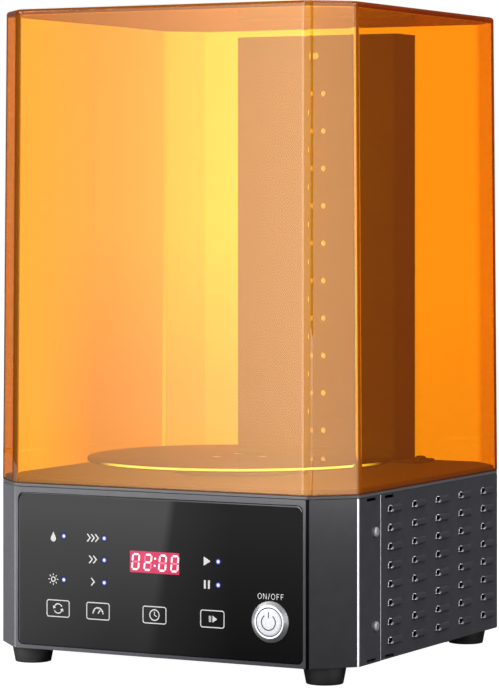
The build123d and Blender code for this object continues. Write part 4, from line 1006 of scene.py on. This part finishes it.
# signs left of the lamps: a drop over a sun, an arrowhead for each step of speed, start and pause
mode_sign_x, speed_sign_x, sun_z = -66.4, -41.0, 49.4
filled(ink, [*arc(mode_sign_x, 72.0, 1.7, 160, 380, 20), (mode_sign_x, 75.9)])
stroke(ink, arc(mode_sign_x, sun_z, 1.25, 0, 360, 20)[:-1], 0.6, closed=True)
for ray in range(8):
    a = radians(45 * ray)
    stroke(ink, [(mode_sign_x + r * cos(a), sun_z + r * sin(a)) for r in (2.2, 3.2)], 0.55)
for count, head_z in ((3, 73.5), (2, 61.6), (1, 49.3)):
    for k in range(count):
        x = speed_sign_x + (k - (count - 1) / 2) * 2.6
        stroke(ink, [(x - 0.9, head_z + 2.1), (x + 1.0, head_z), (x - 0.9, head_z - 2.1)], 0.75)
filled(ink, [(28.9, 61.9), (33.1, 64.4), (28.9, 66.9)])
for bar_x in (29.0, 31.5):
    filled(ink, [(bar_x, 49.5), (bar_x + 1.2, 49.5), (bar_x + 1.2, 54.1), (bar_x, 54.1)])

# ON / OFF over the power button, in plain block strokes
letter_height = 2.9
letters_z = 46.0


def letter(shape, x, width):
    """A block capital from strokes on a unit cell."""
    strokes = {
        "O": [[(0.5 + 0.5 * cos(radians(a)), 0.5 + 0.5 * sin(radians(a))) for a in range(0, 360, 20)]],
        "N": [[(0, 0), (0, 1)], [(0, 1), (1, 0)], [(1, 0), (1, 1)]],
        "F": [[(0, 0), (0, 1), (1, 1)], [(0, 0.52), (0.85, 0.52)]],
        "/": [[(0, -0.05), (1, 1.05)]],
    }[shape]
    for run in strokes:
        stroke(ink, [(x + u * width, letters_z + v * letter_height) for u, v in run], 0.34, closed=shape == "O")


for shape, x, width in (
    ("O", 62.1, 2.2), ("N", 65.4, 1.8), ("/", 68.3, 0.9), ("O", 70.2, 2.2), ("F", 73.6, 1.4), ("F", 76.1, 1.4),
):
    letter(shape, x, width)


def flat_marks(built, name):
    """The mesh of flat outlines, all turned to face the user."""
    built.normal_update()
    for face in built.faces:
        if face.normal.y > 0:
            face.normal_flip()
    mesh = bpy.data.meshes.new(name)
    built.to_mesh(mesh)
    built.free()
    return mesh


link_piece("panel_marks", flat_marks(ink, "panel_marks"), "machine", white_ink_painted_glow)

# The display shows its four digits through a red window in the print.
red_window, tree = blank_material("lit_red_display_window")
window_place = add_node(tree, "ShaderNodeTexCoord").outputs["Object"]
window_noise = add_node(tree, "ShaderNodeTexNoise", {"Vector": window_place, "Scale": 180.0, "Detail": 2.0})
window_tint = add_node(tree, "ShaderNodeMix", {
    0: window_noise, 6: linear("#cf1f52"), 7: linear("#e84472"),
}, data_type="RGBA").outputs[2]
surface(tree, add_node(tree, "ShaderNodeBsdfPrincipled", {
    "Base Color": window_tint, "Roughness": 0.12, "Emission Color": window_tint, "Emission Strength": 0.5,
}))
window_x, window_z = -1.8, 61.9
window = bmesh.new()
window_outline = [(window_x + x * 1000, window_z + z * 1000) for x, z in rounded_rectangle(0.031, 0.0118, 0.0005, 3)]
filled(window, window_outline, glass_front - 0.00002)
link_piece("display_window", flat_marks(window, "display_window"), "machine", red_window)

# Lit segments are nearly white, and the others carry a painted pale red glow for the window's light.
lit_digit, tree = blank_material("lit_display_segment")
surface(tree, add_node(tree, "ShaderNodeBsdfPrincipled", {
    "Base Color": linear("#fff4f6"), "Roughness": 0.3, "Emission Color": linear("#fff2f5"), "Emission Strength": 0.85,
}))
dim_digit_painted_glow, tree = blank_material("unlit_display_segment")
surface(tree, add_node(tree, "ShaderNodeBsdfPrincipled", {
    "Base Color": linear("#f06a90"), "Roughness": 0.3, "Emission Color": linear("#f06a90"), "Emission Strength": 0.7,
}))
segment_lines = {
    "a": ((0, 2), (1, 2)), "b": ((1, 2), (1, 1)), "c": ((1, 1), (1, 0)), "d": ((0, 0), (1, 0)),
    "e": ((0, 0), (0, 1)), "f": ((0, 1), (0, 2)), "g": ((0, 1), (1, 1)),
}
digit_width, digit_height, slant = 4.0, 4.15, 0.09
digit_foot, digit_y = 57.75, glass_front - 0.00006
lit, dim = bmesh.new(), bmesh.new()


def segment(built, x, z, ends):
    """One bar of a digit, pointed at both ends and leaning with the digit."""
    a, b = (Vector((u * digit_width, v * digit_height)) for u, v in ends)
    way = (b - a).normalized()
    a, b = a + way * 0.28, b - way * 0.28
    across = Vector((-way.y, way.x)) * 0.52
    points = [a, a + way * 0.5 + across, b - way * 0.5 + across, b, b - way * 0.5 - across, a + way * 0.5 - across]
    filled(built, [(x + p.x + slant * p.y, z + p.y) for p in points], digit_y)


for digit, x in zip(("abcdef", "abdeg", "abcdef", "abcdef"), (-16.0, -8.3, 0.9, 8.5)):
    for name, ends in segment_lines.items():
        segment(lit if name in digit else dim, x, digit_foot, ends)
for dot_z in (60.2, 64.1):
    dot_x = -1.9 + slant * (dot_z - digit_foot)
    filled(lit, [(dot_x + 0.62 * u, dot_z + 0.62 * v) for u, v in unit_circle(12)], digit_y)
link_piece("lit_segments", flat_marks(lit, "lit_segments"), "machine", lit_digit)
link_piece("unlit_segments", flat_marks(dim, "unlit_segments"), "machine", dim_digit_painted_glow)

# Lamps behind the print: a white point with a blue halo that fades into the black.
lamp_light, tree = blank_material("blue_white_indicator_lamp")
halo_uv = add_node(tree, "ShaderNodeUVMap", uv_map="halo")
halo_far = add_node(tree, "ShaderNodeVectorMath", {0: halo_uv}, operation="LENGTH").outputs["Value"]
halo = add_node(tree, "ShaderNodeValToRGB", {"Fac": halo_far})
stops = halo.color_ramp.elements
stops[0].position, stops[0].color = 0.30, linear("#ffffff")
stops[1].position, stops[1].color = 1.0, (0, 0, 0, 1)
for position, colour in ((0.5, "#6f7fee"), (0.72, "#30379c")):
    stops.new(position).color = linear(colour)
halo_glow = add_node(tree, "ShaderNodeEmission", {"Color": halo, "Strength": 1.0})
halo_fade = add_node(tree, "ShaderNodeMapRange", {
    "Value": halo_far, "From Min": 0.35, "From Max": 1.0, "To Min": 1.0, "To Max": 0.0,
})
halo_clear = add_node(tree, "ShaderNodeBsdfTransparent")
surface(tree, add_node(tree, "ShaderNodeMixShader", {0: halo_fade, 1: halo_clear, 2: halo_glow}))
halo_radius = 0.0022
lamps = bmesh.new()
halo_layer = lamps.loops.layers.uv.new("halo")
for x, z in ((-59.6, 73.6), (-59.6, 49.4), (-33.6, 73.6), (-33.6, 61.6), (-33.6, 49.2), (37.8, 64.5), (37.8, 51.8)):
    spot = unit_circle(24)
    centre = lamps.verts.new((x / 1000, ink_y, z / 1000))
    rim = [lamps.verts.new((x / 1000 + halo_radius * u, ink_y, z / 1000 + halo_radius * v)) for u, v in spot]
    for k in range(len(rim)):
        face = lamps.faces.new((centre, rim[k - 1], rim[k]))
        for loop, uv in zip(face.loops, ((0, 0), spot[k - 1], spot[k])):
            loop[halo_layer].uv = uv
link_piece("indicator_glow", flat_marks(lamps, "indicator_glow"), "machine", lamp_light)

# ================================================================ power button
# Metal push-button for a 19 mm hole: a spun bezel, a light ring and a metal cap with a painted glow, on a spring.
bezel_metal, tree = blank_material("spun_nickel_plated_brass")
bezel_place = add_node(tree, "ShaderNodeTexCoord")
bezel_centre = add_node(tree, "ShaderNodeMapping", {
    "Vector": bezel_place.outputs["Object"], "Location": (-button_x, 0, -button_z),
})
bezel_flat = add_node(tree, "ShaderNodeVectorMath", {0: bezel_centre, 1: (1, 0, 1)}, operation="MULTIPLY")
bezel_radius = add_node(tree, "ShaderNodeVectorMath", {0: bezel_flat}, operation="LENGTH")
# turning marks 0.15 mm apart, drawn a little coarser than real so that they show
turning = add_node(tree, "ShaderNodeTexNoise", {
    "W": bezel_radius.outputs["Value"], "Scale": 5000.0, "Detail": 2.0,
}, noise_dimensions="1D")
turned_bump = add_node(tree, "ShaderNodeBump", {
    "Height": turning.outputs["Fac"], "Distance": 0.00001, "Strength": 0.25,
})
turned_rough = add_node(tree, "ShaderNodeMapRange", {"Value": turning.outputs["Fac"], "To Min": 0.34, "To Max": 0.42})
bezel_skin = add_node(tree, "ShaderNodeBsdfPrincipled", {
    "Base Color": linear("#d2d2d5"), "Metallic": 0.75, "Roughness": turned_rough, "Normal": turned_bump,
})
surface(tree, bezel_skin)

button_face = facing((button_x, glass_front, button_z), (0, -1, 0))


def turned_button(profile_mm, name):
    """A button piece turned about the button's axis, from (radius, height) in millimetres."""
    mesh = turned([(r / 1000, h / 1000) for r, h in profile_mm], name, 96, 30)
    mesh.transform(button_face)
    return mesh


# From the inner floor up the cap's bore, over the rounded bezel and down the threaded barrel.
thread = [(9.5 if i % 2 else 9.15, -1.0 - 0.5 * i) for i in range(42)]
bezel_profile = [
    (3.3, -11.0), (3.3, -9.0), (7.75, -9.0), (7.75, 0.2), (8.72, 0.2), (8.72, 1.9), (8.74, 2.06), (8.85, 2.14),
    (9.05, 2.1), (9.25, 1.98), (10.9, 0.72), (11.1, 0.52), (11.15, 0.3), (11.1, 0.1), (10.95, 0.0), (9.5, 0.0),
    *thread, (9.5, -22.0), (7.9, -22.0), (7.9, -11.0),
]
link_piece(
    "button_bezel", turned_button(bezel_profile, "button_bezel"), "machine", bezel_metal, "button_housing",
    slot="button_metal",
)

# Diffusing polycarbonate ring with white light behind it.
light_ring = uneven_finish("lit_polycarbonate_ring", "#f4f7fb", 0.03, 2.0, {
    "Roughness": 0.35, "Emission Color": linear("#f2f6ff"), "Emission Strength": 0.85,
})
light_ring_profile = [(7.95, 0.22), (8.7, 0.22), (8.7, 1.75), (8.6, 1.95), (8.35, 2.05), (8.1, 1.95), (7.95, 1.75)]
light_ring_mesh = turned_button(light_ring_profile, "button_light_ring")
link_piece("button_light_ring", light_ring_mesh, "machine", light_ring, "button_ring", slot="button_ring")

# The gap round the cap is black inside.
gap_black = uneven_finish("black_nylon_gap", "#3d4046", 0.1, 2.0, {"Roughness": 0.6})
gap_profile = [(7.4, 0.22), (7.95, 0.22), (7.95, 1.7), (7.9, 1.78), (7.6, 1.78), (7.4, 1.5)]
link_piece("button_gap", turned_button(gap_profile, "button_gap"), "machine", gap_black)

# The cap: satin anodised aluminium with a laser-cut sign, with a painted glow for the ring's light on it.
cap_metal_painted_glow = uneven_finish("satin_anodised_cap", "#e9eaee", 0.02, 0.6, {
    "Metallic": 0.15, "Roughness": 0.42, "Emission Color": linear("#f3f6ff"), "Emission Strength": 0.35,
}, (0.12, 0.004, 0.5))
cap_profile = [
    (0, 2.46), (4.0, 2.44), (6.4, 2.36), (6.95, 2.26), (7.2, 2.1), (7.32, 1.85), (7.35, 1.5), (7.35, -3.0), (3.0, -3.0),
    (3.0, -12.0), (0, -12.0),
]
cap_mesh = turned_button(cap_profile, "button_cap_face")
link_piece("button_cap_face", cap_mesh, "power_button", cap_metal_painted_glow, "button_cap", slot="button_cap")

sign_grey = uneven_finish("laser_marked_sign", "#4c4f57", 0.08, 0.5, {"Roughness": 0.5})
sign = bmesh.new()
sign_x, sign_z, sign_y, sign_line = button_x * 1000, button_z * 1000, glass_front - 0.00249, 0.62
stroke(sign, arc(sign_x, sign_z, 4.2, 125, 415, 40), sign_line, y=sign_y)
stroke(sign, [(sign_x, sign_z + 2.3), (sign_x, sign_z + 5.4)], sign_line, y=sign_y)
link_piece("power_sign", flat_marks(sign, "power_sign"), "power_button", sign_grey)

# The spring: round steel wire between the housing's floor and the cap, with a closed turn at each end.
spring_steel = uneven_finish(
    "drawn_spring_steel", "#b4b5b8", 0.08, 0.6, {"Metallic": 1.0, "Roughness": 0.3}, (0.1, 0.003, 0.6),
)
spring_floor, spring_top, button_travel = -0.009, -0.003, 0.0015
spring_radius, wire_radius, wire_turns, turn_steps = 0.0052, 0.0003, 5, 32
closed_rise = 2.1 * wire_radius
open_turns = wire_turns - 2
open_rise = (spring_top - spring_floor - 2.2 * wire_radius - 2 * closed_rise) / open_turns
wire_rings = []
for step in range(wire_turns * turn_steps + 1):
    turn = step / turn_steps
    rise = closed_rise * (min(turn, 1) + max(0, turn - wire_turns + 1)) + open_rise * max(0, min(turn - 1, open_turns))
    height = spring_floor + 1.1 * wire_radius + rise
    wire_rings.append([
        (
            (spring_radius + wire_radius * u) * cos(2 * pi * turn),
            (spring_radius + wire_radius * u) * sin(2 * pi * turn), height + wire_radius * v,
        )
        for u, v in unit_circle(12)
    ])
spring_mesh = to_mesh(skin_rings(wire_rings), "button_coil_spring", 40)
spring_mesh.transform(button_face)
coil_spring = link_piece(
    "button_coil_spring", spring_mesh, "machine", spring_steel, "button_spring", slot="spring_wire",
)
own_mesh(coil_spring)

# ================================================================ inside the casing
# Boards, motor, bracket, leads and fasteners keep their CAD shapes and get the finish of their stuff.
# Plated and turned metals are bright with fine marks, mouldings are dull, and rubber and foam are matt.


def inner_finish(name, colour, metallic, roughness, grain_mm, relief_mm, uneven=0.08):
    """Finish of an inner part: its colour varies a little and its surface has a grain."""
    material, tree = blank_material(name)
    grain, shade = noise_shade(tree, linear(colour), uneven, grain_mm * 6)
    rough = add_node(tree, "ShaderNodeMapRange", {
        "Value": grain, "To Min": roughness - 0.05, "To Max": roughness + 0.05,
    })
    skin = add_node(tree, "ShaderNodeBsdfPrincipled", {
        "Base Color": shade, "Metallic": metallic, "Roughness": rough, "Normal": relief(tree, grain_mm, relief_mm, 0.6),
    })
    surface(tree, skin)
    return material


finishes = {
    "base_plate": plate_coat,
    "small_screws": inner_finish("zinc_plated_screw", "#b9bab4", 1.0, 0.32, 0.3, 0.004),
    "panel_carrier": inner_finish("moulded_black_abs", "#202022", 0.0, 0.5, 0.4, 0.01),
    "circuit_board": inner_finish("green_solder_mask", "#1c5a34", 0.0, 0.35, 0.5, 0.006, 0.12),
    "display": inner_finish("moulded_display_body", "#d8d8d4", 0.0, 0.5, 0.4, 0.006),
    "indicator": inner_finish("clear_epoxy_lamp", "#dfe6ff", 0.0, 0.15, 0.6, 0.002),
    "touch_pad": inner_finish("conductive_foam", "#2c2c2e", 0.0, 0.9, 0.3, 0.06, 0.2),
    "button_metal": inner_finish("nickel_plated_brass", "#c5c4be", 1.0, 0.25, 0.3, 0.003),
    "black_nylon": inner_finish("moulded_black_nylon", "#1d1d1f", 0.0, 0.5, 0.4, 0.012),
    "brass_standoff": inner_finish("turned_brass", "#c8a24a", 1.0, 0.3, 0.2, 0.003),
    "components": inner_finish("epoxy_components", "#2a2a2d", 0.0, 0.45, 0.8, 0.01, 0.25),
    "nickel_nut": inner_finish("nickel_plated_nut", "#c2c1bb", 1.0, 0.25, 0.3, 0.003),
    "bracket_metal": inner_finish("zinc_plated_sheet", "#b0b2b4", 1.0, 0.35, 1.5, 0.006, 0.15),
    "motor_metal": inner_finish("drawn_motor_case", "#8f9194", 1.0, 0.32, 0.6, 0.004),
    "shaft_steel": inner_finish("ground_steel_shaft", "#c4c5c7", 1.0, 0.18, 0.1, 0.001),
    "white_nylon": inner_finish("moulded_natural_nylon", "#e6e4da", 0.0, 0.45, 0.5, 0.008, 0.04),
    "magnet": inner_finish("nickel_plated_magnet", "#cfd0d2", 1.0, 0.15, 0.5, 0.001),
    "led_board": inner_finish("white_solder_mask", "#e9e9e4", 0.0, 0.35, 0.5, 0.004, 0.04),
    "heat_sink": inner_finish("extruded_aluminium", "#c3c5c8", 1.0, 0.38, 0.4, 0.006),
    "grommet": foot_rubber,
    "ribbon": inner_finish("grey_pvc_ribbon", "#9b9ca0", 0.0, 0.5, 1.2, 0.03, 0.08),
    "lead": inner_finish("black_pvc_lead", "#232325", 0.0, 0.45, 0.4, 0.01),
}

# ================================================================ turntable
# A clear acrylic disc on a black hub; magnets under the deck turn it. The disc's turned edge
# carries a painted glow, an emission that stands in for the amber light it gathers.
clear_acrylic, tree = blank_material("polished_clear_acrylic")
disc_glass = add_node(tree, "ShaderNodeBsdfGlass", {"Color": (0.98, 1.0, 0.99, 1), "Roughness": 0.0, "IOR": 1.49})
disc_paths = add_node(tree, "ShaderNodeLightPath")
disc_clear = add_node(tree, "ShaderNodeBsdfTransparent", {"Color": (0.95, 0.96, 0.95, 1)})
disc_side = add_node(tree, "ShaderNodeMath", {
    0: disc_paths.outputs["Is Shadow Ray"], 1: disc_paths.outputs["Is Diffuse Ray"],
}, operation="MAXIMUM")
disc_mix = add_node(tree, "ShaderNodeMixShader", {0: disc_side, 1: disc_glass, 2: disc_clear})
surface(tree, disc_mix)

painted_glow_edge, tree = blank_material("flame_polished_acrylic_edge")
edge_shade = noise_shade(tree, linear("#fffbe6"), 0.03, 3.0)[1]
# the painted glow is strongest square to the edge, and aslant and from behind it fades out
edge_aslant = add_node(tree, "ShaderNodeLayerWeight", {"Blend": 0.5})
edge_square = add_node(tree, "ShaderNodeMapRange", {
    "Value": edge_aslant.outputs["Facing"], "From Min": 0.38, "From Max": 0.62, "To Min": 1.6, "To Max": 0.0,
})
edge_front = add_node(tree, "ShaderNodeMath", {
    0: 1.0, 1: add_node(tree, "ShaderNodeNewGeometry").outputs["Backfacing"],
}, operation="SUBTRACT")
painted_glow_level = add_node(tree, "ShaderNodeMath", {0: edge_square, 1: edge_front}, operation="MULTIPLY")
painted_glow_skin = add_node(tree, "ShaderNodeEmission", {"Color": linear("#f4ffd8"), "Strength": painted_glow_level})
edge_clear = add_node(tree, "ShaderNodeBsdfTransparent", {"Color": edge_shade})
edge_share = add_node(tree, "ShaderNodeMapRange", {"Value": painted_glow_level, "To Min": 0.25, "To Max": 1.0})
edge_mix = add_node(tree, "ShaderNodeMixShader", {0: edge_share, 1: edge_clear, 2: painted_glow_skin})
surface(tree, edge_mix)

disc_low, disc_high = 0.1115, 0.1139
disc_radius = 0.0865
disc_profile = [
    (0, disc_low), (disc_radius - 0.0008, disc_low), (disc_radius - 0.0003, disc_low + 0.0002),
    (disc_radius, disc_low + 0.0006), (disc_radius, disc_high - 0.0005), (disc_radius - 0.0002, disc_high - 0.0002),
    (disc_radius - 0.0006, disc_high), (0, disc_high),
]
disc_mesh = turned(disc_profile, "clear_disc", 192, 30)
disc_mesh.transform(Matrix.Translation((0, turntable_y, 0)))
link_piece("clear_disc", disc_mesh, "turntable", clear_acrylic, "turntable_disc", slot="turntable_top")
disc_mesh.materials.append(painted_glow_edge)
for face in disc_mesh.polygons:
    from_rim = hypot(face.center.x, face.center.y - turntable_y) - disc_radius
    if abs(from_rim) < 0.0004 and abs(face.normal.z) < 0.3:
        face.material_index = 1

# ================================================================ light tower
# A dark moulded housing with two staggered rows of round windows, a lamp behind each, on a foot
# with an ear at each side. Its aluminium heat sink fills it.
tower_abs = uneven_finish("moulded_dark_abs_tower", "#5c5a5a", 0.05, 12.0, {"Roughness": 0.42}, (0.5, 0.012, 0.5, 0.4))
for node_name in ("tower_housing", "tower_foot", "tower_back"):
    link_piece(node_name + "_moulding", from_solid(node_name), "machine", tower_abs, node_name, slot="tower_plastic")

ear_screws = [Matrix.Translation((x, 0.0896, 0.1065)) for x in (-0.062, 0.062)]
tower_screw_heads = placed_copies(pan_head(0.0033, 0.0024), ear_screws, "tower_screw_heads")
link_piece("tower_screw_heads", tower_screw_heads, "machine", black_oxide, "tower_screws", slot="tower_screw")

# One lamp: a white ceramic body with a moulded silicone dome.
lamp_white = uneven_finish("white_ceramic_lamp", "#fbfaf2", 0.03, 1.5, {
    "Roughness": 0.2, "Emission Color": linear("#fff7df"), "Emission Strength": 0.5,
})
lamp_body = bmesh.new()
lamp_front, lamp_side, lamp_depth = 0.0796, 0.0035, 0.0012
block(lamp_body, (0, lamp_front + lamp_depth / 2, 0), (lamp_side, lamp_depth, lamp_side))
bmesh.ops.bevel(lamp_body, geom=lamp_body.edges[:], offset=0.0002, segments=2, affect="EDGES")
dome_profile = [
    (0, -0.0001), (0.0015, -0.0001), (0.0015, 0.0014), (0.0014, 0.0018), (0.0011, 0.00215), (0.0006, 0.00235),
    (0, 0.0024),
]
dome = turned(dome_profile, "dome", 24)
dome.transform(facing((0, lamp_front, 0), (0, -1, 0)))
lamp_body.from_mesh(dome)
lamp_one = in_scene("lamp_one", to_mesh(lamp_body, "lamp_one", 40))
rows, row_inputs = new_tree(
    "lamp_rows", ("Lamp", "NodeSocketObject", None), ("Pitch", "NodeSocketFloat", 0.0223),
    ("Top", "NodeSocketFloat", 0.3233), ("Aside", "NodeSocketFloat", 0.0051),
    ("Finish", "NodeSocketMaterial", None),
)
lamp_shape = add_node(rows, "GeometryNodeObjectInfo", {"Object": row_inputs["Lamp"]})
down = add_node(rows, "ShaderNodeMath", {0: row_inputs["Pitch"], 1: -1.0}, operation="MULTIPLY")
step_down = add_node(rows, "ShaderNodeCombineXYZ", {"Z": down})
all_rows = add_node(rows, "GeometryNodeJoinGeometry")
for way, lowered, count in ((1.0, 0.0, 10), (-1.0, -0.5, 9)):
    row_x = add_node(rows, "ShaderNodeMath", {0: row_inputs["Aside"], 1: way}, operation="MULTIPLY")
    row_top = add_node(rows, "ShaderNodeMath", {
        0: row_inputs["Pitch"], 1: lowered, 2: row_inputs["Top"],
    }, operation="MULTIPLY_ADD")
    row_start = add_node(rows, "ShaderNodeCombineXYZ", {"X": row_x, "Z": row_top})
    row_line = add_node(rows, "GeometryNodeMeshLine", {
        "Count": count, "Start Location": row_start, "Offset": step_down,
    })
    row_lamps = add_node(rows, "GeometryNodeInstanceOnPoints", {
        "Points": row_line, "Instance": lamp_shape.outputs["Geometry"],
    })
    rows.links.new(row_lamps.outputs[0], all_rows.inputs[0])
tip_point = add_node(rows, "GeometryNodeMeshLine", {"Count": 1, "Start Location": (0, 0, 0.3459)})
tip_lamp = add_node(rows, "GeometryNodeInstanceOnPoints", {
    "Points": tip_point, "Instance": lamp_shape.outputs["Geometry"],
})
rows.links.new(tip_lamp.outputs[0], all_rows.inputs[0])
real_lamps = add_node(rows, "GeometryNodeRealizeInstances", {0: all_rows})
white_lamps = add_node(rows, "GeometryNodeSetMaterial", {"Geometry": real_lamps, "Material": row_inputs["Finish"]})
add_node(rows, "NodeGroupOutput", {0: white_lamps})
lamps_mesh = grown(rows, "tower_lamps", {"Lamp": lamp_one, "Finish": lamp_white})
bpy.data.objects.remove(lamp_one)
link_piece("tower_lamps", lamps_mesh, "machine", lamp_white, "uv_lamps", slot="uv_lamp")

# ================================================================ amber cover
# Cast amber acrylic, 3 mm thick: eight walls that lean in 2 mm, a flat top, polished all over.
cover_low, cover_high = 0.102, 0.3665
cover_wall, cover_bend = 0.003, 0.008
cover_lean, cover_proud = 0.002, 0.0004


def cover_ring(extra, z):
    """Plan ring of the leaning wall at a height, extra further in from its outside."""
    inset = extra - cover_proud + cover_lean * (z - cover_low) / (cover_high - cover_low)
    return [Vector((p.x, p.y, z)) for p in rounded(octagon_corners(inset), cover_bend - extra, 14)]


inner_top = cover_high - cover_wall
cover_rings = [cover_ring(cover_wall + 0.0010, inner_top), cover_ring(cover_wall + 0.0006, inner_top)]
for k in range(4):
    a = pi / 2 * k / 3
    cover_rings.append(cover_ring(cover_wall + 0.0004 * (1 - sin(a)), inner_top - 0.0004 * (1 - cos(a))))
cover_rings += [
    cover_ring(cover_wall, inner_top - 0.0008), cover_ring(cover_wall, cover_low + 0.0006),
    cover_ring(cover_wall, cover_low + 0.0002), cover_ring(cover_wall - 0.0002, cover_low),
    cover_ring(0.0003, cover_low), cover_ring(0.0001, cover_low + 0.0001), cover_ring(0, cover_low + 0.0003),
    cover_ring(0, cover_low + 0.0007), cover_ring(0, cover_high - 0.0024),
]
for k in range(9):
    a = pi / 2 * k / 8
    cover_rings.append(cover_ring(0.002 * (1 - cos(a)), cover_high - 0.002 * (1 - sin(a))))
cover_rings.append(cover_ring(0.0026, cover_high))
cover_mesh = to_mesh(skin_rings(cover_rings), "amber_cover", 40)

amber, tree = blank_material("cast_amber_acrylic")
amber_paths = add_node(tree, "ShaderNodeLightPath").outputs
# seen aslant the dyed wall is deeper in colour
amber_aslant = add_node(tree, "ShaderNodeLayerWeight", {"Blend": 0.5}).outputs["Facing"]
amber_depth = add_node(tree, "ShaderNodeMapRange", {"Value": amber_aslant, "From Min": 0.1, "From Max": 0.5})
square_tint, aslant_tint = (0.93, 0.634, 0.132, 1), (0.90, 0.43, 0.016, 1)
amber_tint = add_node(tree, "ShaderNodeMix", {
    0: amber_depth, 6: square_tint, 7: aslant_tint,
}, data_type="RGBA").outputs[2]
amber_glass = add_node(tree, "ShaderNodeBsdfPrincipled", {
    "Base Color": amber_tint, "Roughness": 0.0, "IOR": 1.49, "Transmission Weight": 1.0,
})
amber_clear = add_node(tree, "ShaderNodeBsdfTransparent", {"Color": (0.998, 0.80, 0.40, 1)})
amber_light = add_node(tree, "ShaderNodeMath", {
    0: amber_paths["Is Shadow Ray"], 1: amber_paths["Is Diffuse Ray"],
}, operation="MAXIMUM")
amber_body = add_node(tree, "ShaderNodeMixShader", {0: amber_light, 1: amber_glass, 2: amber_clear})
# the dye scatters a little of the light that falls on the wall
amber_haze = add_node(tree, "ShaderNodeBsdfDiffuse", {"Color": (0.72, 0.34, 0.01, 1)})
amber_mix = add_node(tree, "ShaderNodeMixShader", {0: 0.05, 1: amber_body, 2: amber_haze})
amber_volume = add_node(tree, "ShaderNodeVolumeAbsorption", {"Color": (0.985, 0.78, 0.0, 1), "Density": 120.0})
add_node(tree, "ShaderNodeOutputMaterial", {"Surface": amber_mix, "Volume": amber_volume})
amber_cover = link_piece("amber_cover", cover_mesh, "cover", amber, "cover", slot="amber_acrylic")
light_only(amber_cover, haze_lamp, side_haze_lamp)

# the sawn foot of the cover is dull, and it is coloured dark and opaque as painted shade of the seam below it
sawn_foot_painted_shade = uneven_finish("sawn_amber_edge", "#3a1f0d", 0.1, 1.0, {"Roughness": 0.7, "Specular IOR Level": 0.2})
cover_mesh.materials.append(sawn_foot_painted_shade)
for face in cover_mesh.polygons:
    if face.center.z < cover_low + 0.0007:
        face.material_index = 1

# ================================================================ finishes of the remaining CAD parts
slots = {part["node"]: part["material_slot"] for part in frame["record"]["subparts"]}
for node_name, holder in frame["nodes"].items():
    if slots[node_name] in finishes:
        for place in holder.material_slots:
            place.material = finishes[slots[node_name]]
